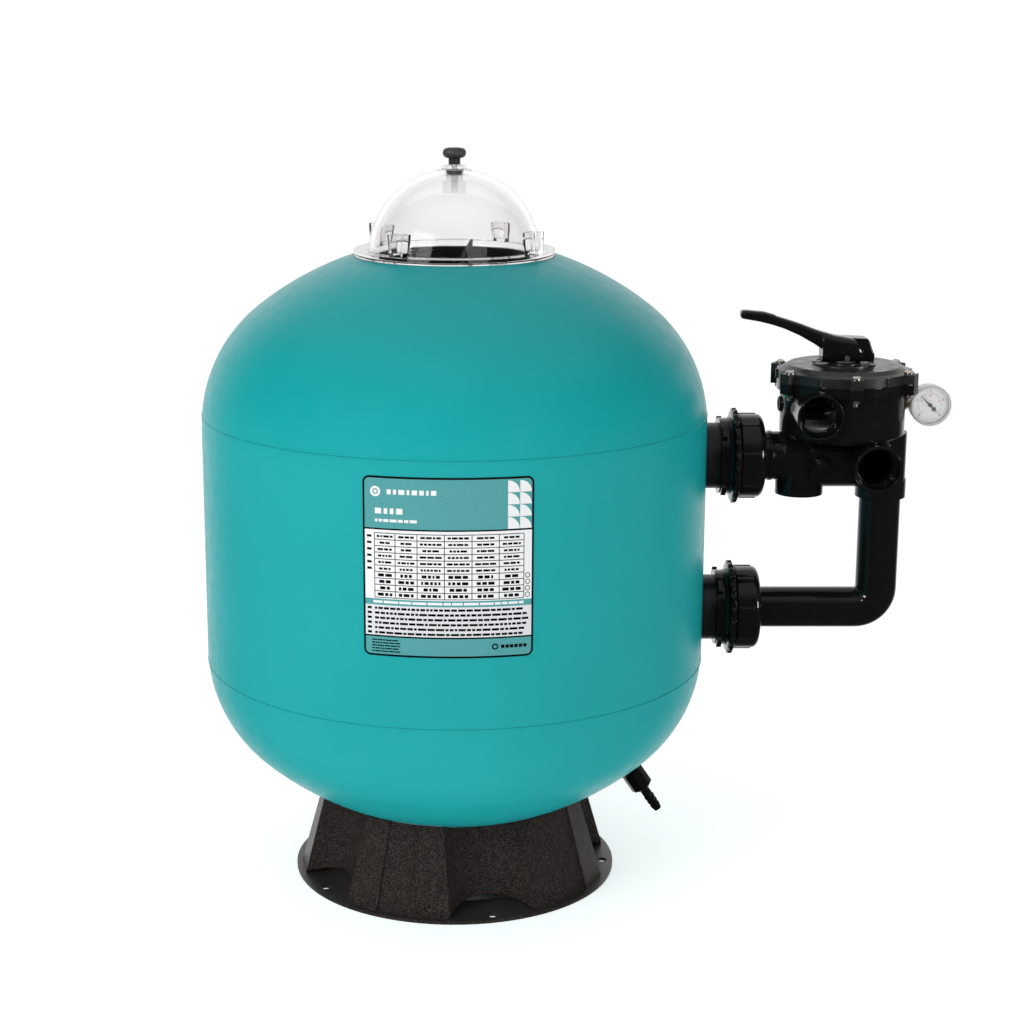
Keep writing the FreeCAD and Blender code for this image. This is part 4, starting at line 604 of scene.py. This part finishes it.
def relief_knob():
    """Knob with eight soft lobes on a threaded neck and a slim clear stem."""
    low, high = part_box("relief_knob")
    foot, top = low.z / MM, high.z / MM
    gap_over_nut = 0.9
    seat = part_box("relief_nut")[1].z / MM + gap_over_nut
    head_tall = 12.3
    head = top - head_tall
    stem, neck = 4.2, 7.3
    thread_deep = 0.8
    threads = 4
    profile = [(0.01, foot), (stem, foot), (stem, seat), (neck, seat)]
    stem_rows = len(profile) - 1
    for number in range(threads):
        z = seat + (head - seat) * number / threads
        root = neck - thread_deep
        profile += [(neck, z + 0.35), (root, z + 0.9), (root, z + 1.2), (neck, z + 1.7)]
    start_of_head = len(profile)
    profile += [(neck, head), (9.6, head + 0.2), (11.6, head + 1.6), (12.9, head + 3.6),
                (13.3, head + 5.6), (13.2, head + 7.6), (12.4, head + 9.6), (10.4, head + 11.4),
                (7.0, head + 12.1), (3.0, head + head_tall), (0.01, head + head_tall)]
    end_of_head = len(profile) - 3
    lobe_count, lobe_deep = 8, 0.035

    def lobes(turn, number):
        if start_of_head < number <= end_of_head:
            return 1.0 + lobe_deep * math.cos(lobe_count * turn)
        return 1.0

    around = 96
    verts, faces = turned(profile, around, lobes)
    picks = [int(number < stem_rows * around) for number in range(len(faces))]
    piece("relief_knob_lobed", verts, faces, [KNOB_BLACK, FROSTED], "relief",
          ["relief_knob"], picks, 50.0)


def neck_threads():
    """Neck collar with its thread ridges, seen through the clear lid."""
    low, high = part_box("neck_collar")
    top, foot = high.z / MM, low.z / MM
    crest, lip, outer = 98.35, 113.0, 123.0
    thread_deep, pitch = 1.5, 3.4
    root = crest + thread_deep
    groove_in, groove_out, groove_deep = 102.4, 107.6, 4.2
    shoulder = top - 7.7
    profile = [(lip, shoulder), (lip, top), (groove_out, top), (groove_out, top - groove_deep),
               (groove_in, top - groove_deep), (groove_in, top), (root, top)]
    z = top - 0.8
    while z > foot + pitch:
        profile += [(root, z), (crest, z - 0.9), (crest, z - 1.5), (root, z - 2.4)]
        z -= pitch
    profile += [(root, foot), (outer, foot), (outer, shoulder), (lip, shoulder)]
    verts, faces = turned(profile, 128)
    piece("neck_collar_threaded", verts, faces, [SATIN_BLACK], "filter",
          ["neck_collar"])


def strainer():
    """Slim leaning strainer with a collar at its foot and a pointed tip."""
    low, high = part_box("air_strainer")
    foot_inset, tip_inset = 9.0 * MM, 3.2 * MM
    flatness = 0.8
    foot_x, foot_z = low.x + foot_inset, low.z
    tip_x, tip_z = high.x - tip_inset, high.z
    rings = []
    corners = 20
    # radius in millimetres by share of the way from foot to tip
    shape = [(0.0, 8.6), (0.04, 8.6), (0.07, 6.4), (0.3, 6.0), (0.5, 5.6), (0.7, 4.6), (0.86, 3.4),
             (0.95, 2.3), (0.99, 1.2), (1.0, 0.3)]
    for share, radius in shape:
        x = foot_x + (tip_x - foot_x) * share
        z = foot_z + (tip_z - foot_z) * share
        ring = []
        for step in range(corners):
            turn = 2 * math.pi * step / corners
            across, along = radius * math.cos(turn) * MM, radius * math.sin(turn) * MM
            ring.append((x + across, along * flatness, z))
        rings.append(ring)
    verts, faces = lofted(rings)
    piece("air_strainer_fin", verts, faces, [BLACK], "filter", ["air_strainer"])


# the strokes of each digit of the gauge's scales, and the ends of each stroke in a unit box
DIGITS = {
    "0": "abcdef", "1": "bc", "2": "abged", "3": "abgcd", "4": "fgbc", "6": "afgedc",
    "8": "abcdefg",
}
STROKES = {
    "a": (0, 1, 1, 1), "b": (1, 1, 1, 0.5), "c": (1, 0.5, 1, 0), "d": (0, 0, 1, 0),
    "e": (0, 0.5, 0, 0), "f": (0, 1, 0, 0.5), "g": (0, 0.5, 1, 0.5),
}


def gauge_print():
    """Two scales with ticks and numbers on the gauge's white dial."""
    low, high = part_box("gauge_dial")
    centre_x, centre_z = (low.x + high.x) / 2, (low.z + high.z) / 2
    radius = (high.x - low.x) / 2 / MM
    face = low.y - 0.05 * MM
    verts, faces, picks = [], [], []

    def quad(corners, ink):
        """One flat face through four (across, up) corners, in millimetres from the middle."""
        start = len(verts)
        for across, up in corners:
            verts.append((centre_x + across * MM, face, centre_z + up * MM))
        faces.append((start, start + 1, start + 2, start + 3))
        picks.append(ink)

    def spoke(turn, inner, outer, half, ink):
        """A tick that runs outwards at an angle."""
        along = (math.cos(turn), math.sin(turn))
        side = (-along[1] * half, along[0] * half)
        quad([(along[0] * reach + side[0] * sign, along[1] * reach + side[1] * sign)
              for reach, sign in ((inner, -1), (outer, -1), (outer, 1), (inner, 1))], ink)

    def arc(start, stop, inner, outer, ink):
        count = 60
        for step in range(count):
            first = math.radians(start + (stop - start) * step / count)
            last = math.radians(start + (stop - start) * (step + 1) / count)
            quad([(inner * math.cos(first), inner * math.sin(first)),
                  (outer * math.cos(first), outer * math.sin(first)),
                  (outer * math.cos(last), outer * math.sin(last)),
                  (inner * math.cos(last), inner * math.sin(last))], ink)

    def number(text, across, up, tall, ink):
        """Digits side by side, centred on a place."""
        wide, gap, half = tall * 0.55, tall * 0.35, tall * 0.09
        left = across - (len(text) * wide + (len(text) - 1) * gap) / 2
        for digit in text:
            for stroke in DIGITS[digit]:
                x1, y1, x2, y2 = STROKES[stroke]
                x_low, x_high = left + min(x1, x2) * wide - half, left + max(x1, x2) * wide + half
                y_low = up - tall / 2 + min(y1, y2) * tall - half
                y_high = up - tall / 2 + max(y1, y2) * tall + half
                quad([(x_low, y_low), (x_high, y_low), (x_high, y_high), (x_low, y_high)], ink)
            left += wide + gap

    black, red = 0, 1
    start, sweep = 225.0, 270.0
    marks, marks_per_number = 40, 10
    inner_scale = 0.62 * radius
    outer_scale = 0.86 * radius
    line_half = 0.12
    # half width, long and short length of the ticks, then the inset and height of the numbers
    red_half, red_long, red_short, red_inset, red_tall = 0.14, 2.2, 1.2, 2.2, 1.7
    black_half, black_long, black_short, black_inset, black_tall = 0.10, 1.8, 0.9, 1.9, 2.2
    arc(start - sweep, start, inner_scale - line_half, inner_scale + line_half, red)
    for mark in range(marks + 1):
        turn = math.radians(start - sweep * mark / marks)
        strong = mark % marks_per_number == 0
        red_tick = red_long if strong else red_short
        black_tick = black_long if strong else black_short
        spoke(turn, inner_scale, inner_scale + red_tick, red_half, red)
        spoke(turn, outer_scale, outer_scale + black_tick, black_half, black)
        if strong:
            reach = outer_scale - black_inset
            number(str(mark // marks_per_number * 2), reach * math.cos(turn),
                   reach * math.sin(turn), black_tall, black)
            reach = inner_scale - red_inset
            number(str(mark // marks_per_number * 3 // 2 * 10), reach * math.cos(turn),
                   reach * math.sin(turn), red_tall, red)
    piece("gauge_print", verts, faces, [POINTER, INK_RED], "filter", (), picks)


# ---------------------------------------------------------------- camera, floor and light

def camera():
    """A slightly raised front view, with the object left of the middle."""
    data = bpy.data.cameras.new("camera")
    data.sensor_width = 36.0
    data.lens = 73.64
    data.shift_x = 0.0506
    eye = bpy.data.objects.new("camera", data)
    eye.location = (0.00678, -2.5, 1.0514)
    eye.rotation_euler = (math.radians(76.58), 0.0, 0.0)
    scene = bpy.context.scene
    scene.collection.objects.link(eye)
    scene.camera = eye
    scene.view_settings.view_transform = "Standard"


def lamp(name, place, target, wide, tall, power, glints=None):
    """A rectangular lamp; with a collection it lights only that, and shows in its gloss."""
    data = bpy.data.lights.new(name, "AREA")
    data.shape = "RECTANGLE"
    data.size = wide
    data.size_y = tall
    data.energy = power
    obj = bpy.data.objects.new(name, data)
    obj.location = place
    obj.rotation_euler = (Vector(target) - Vector(place)).to_track_quat("-Z", "Y").to_euler()
    obj.visible_glossy = glints is not None
    bpy.context.scene.collection.objects.link(obj)
    if glints:
        obj.light_linking.receiver_collection = glints


def glossy_pieces():
    """A collection of the black and steel pieces, for the lamps that make small glints."""
    glossy = (BLACK, SATIN_BLACK, COVER_BLACK, KNOB_BLACK, STEEL)
    glints = bpy.data.collections.new("glints")
    for obj in bpy.context.scene.objects:
        if obj.type == "MESH" and obj.data.materials and obj.data.materials[0] in glossy:
            glints.objects.link(obj)
    return glints


def surroundings():
    """White all round and above, and dim in front, so that black gloss stays black."""
    world = bpy.data.worlds.new("studio")
    world.use_nodes = True
    nodes, links = world.node_tree.nodes, world.node_tree.links
    sky = nodes["Background"]
    place = nodes.new("ShaderNodeTexCoord").outputs["Generated"]
    parts = nodes.new("ShaderNodeSeparateXYZ")
    links.new(place, parts.inputs[0])

    def ramp(axis, low, high, to_low, to_high):
        """A smooth rise of brightness along one axis of the view direction."""
        node = nodes.new("ShaderNodeMapRange")
        node.interpolation_type = "SMOOTHSTEP"
        links.new(parts.outputs[axis], node.inputs["Value"])
        for socket, number in (("From Min", low), ("From Max", high), ("To Min", to_low),
                               ("To Max", to_high)):
            node.inputs[socket].default_value = number
        return node.outputs["Result"]

    behind = ramp("Y", 0.45, 0.92, 0.07, 1.12)
    above = ramp("Z", 0.45, 0.9, 0.0, 0.75)
    most = nodes.new("ShaderNodeMath")
    most.operation = "MAXIMUM"
    links.new(behind, most.inputs[0])
    links.new(above, most.inputs[1])
    links.new(most.outputs[0], sky.inputs["Strength"])
    sky.inputs["Color"].default_value = tone(1.0, 1.0, 1.0)
    bpy.context.scene.world = world


def lamps():
    """Two broad soft lamps for the whole object and three small ones for glints."""
    middle = (0.1, 0.0, 0.45)
    lamp("key", (-2.2, -2.0, 1.6), middle, 1.8, 1.8, 42.0)
    lamp("fill", (1.6, -2.6, 1.5), middle, 1.6, 1.6, 17.0)
    glints = glossy_pieces()
    lamp("spark_left", (-1.5, -1.9, 1.7), middle, 0.42, 0.5, 45.0, glints)
    lamp("spark_right", (2.3, -1.4, 0.9), middle, 0.36, 0.5, 40.0, glints)
    lamp("spark_high", (-0.3, -2.4, 2.4), middle, 0.12, 0.16, 8.0, glints)


def floor():
    """A wide white floor that runs to the horizon, with painted shade under the stand: its glow
    stops there.
    """
    half = 60.0
    glow_start, glow_full = 172.0 * MM, 186.0 * MM
    verts = [(-half, -half, 0), (half, -half, 0), (half, half, 0), (-half, half, 0)]
    mesh = bpy.data.meshes.new("floor")
    mesh.from_pydata(verts, [], [(0, 1, 2, 3)])
    paint = plain_matte("floor_pale", tone(0.76, 0.76, 0.76), tone(0.80, 0.80, 0.80), 0.8, 3.0,
                        shine=0.0)
    radius = paint.length(paint.stretch(1.0, 1.0, 0.0))
    # painted shade: no glow within the stand's foot, so the floor is dark under the stand
    paint.feed("Emission Strength", paint.spread(radius, glow_start, glow_full, 0.0, 0.62))
    paint.shader.inputs["Emission Color"].default_value = tone(1.0, 1.0, 1.0)
    mesh.materials.append(paint.material)
    obj = bpy.data.objects.new("floor", mesh)
    bpy.context.scene.collection.objects.link(obj)
    obj.visible_glossy = False


finish_nodes()
data_plate()
lever()
relief_knob()
neck_threads()
strainer()
gauge_print()
camera()
surroundings()
lamps()
floor()
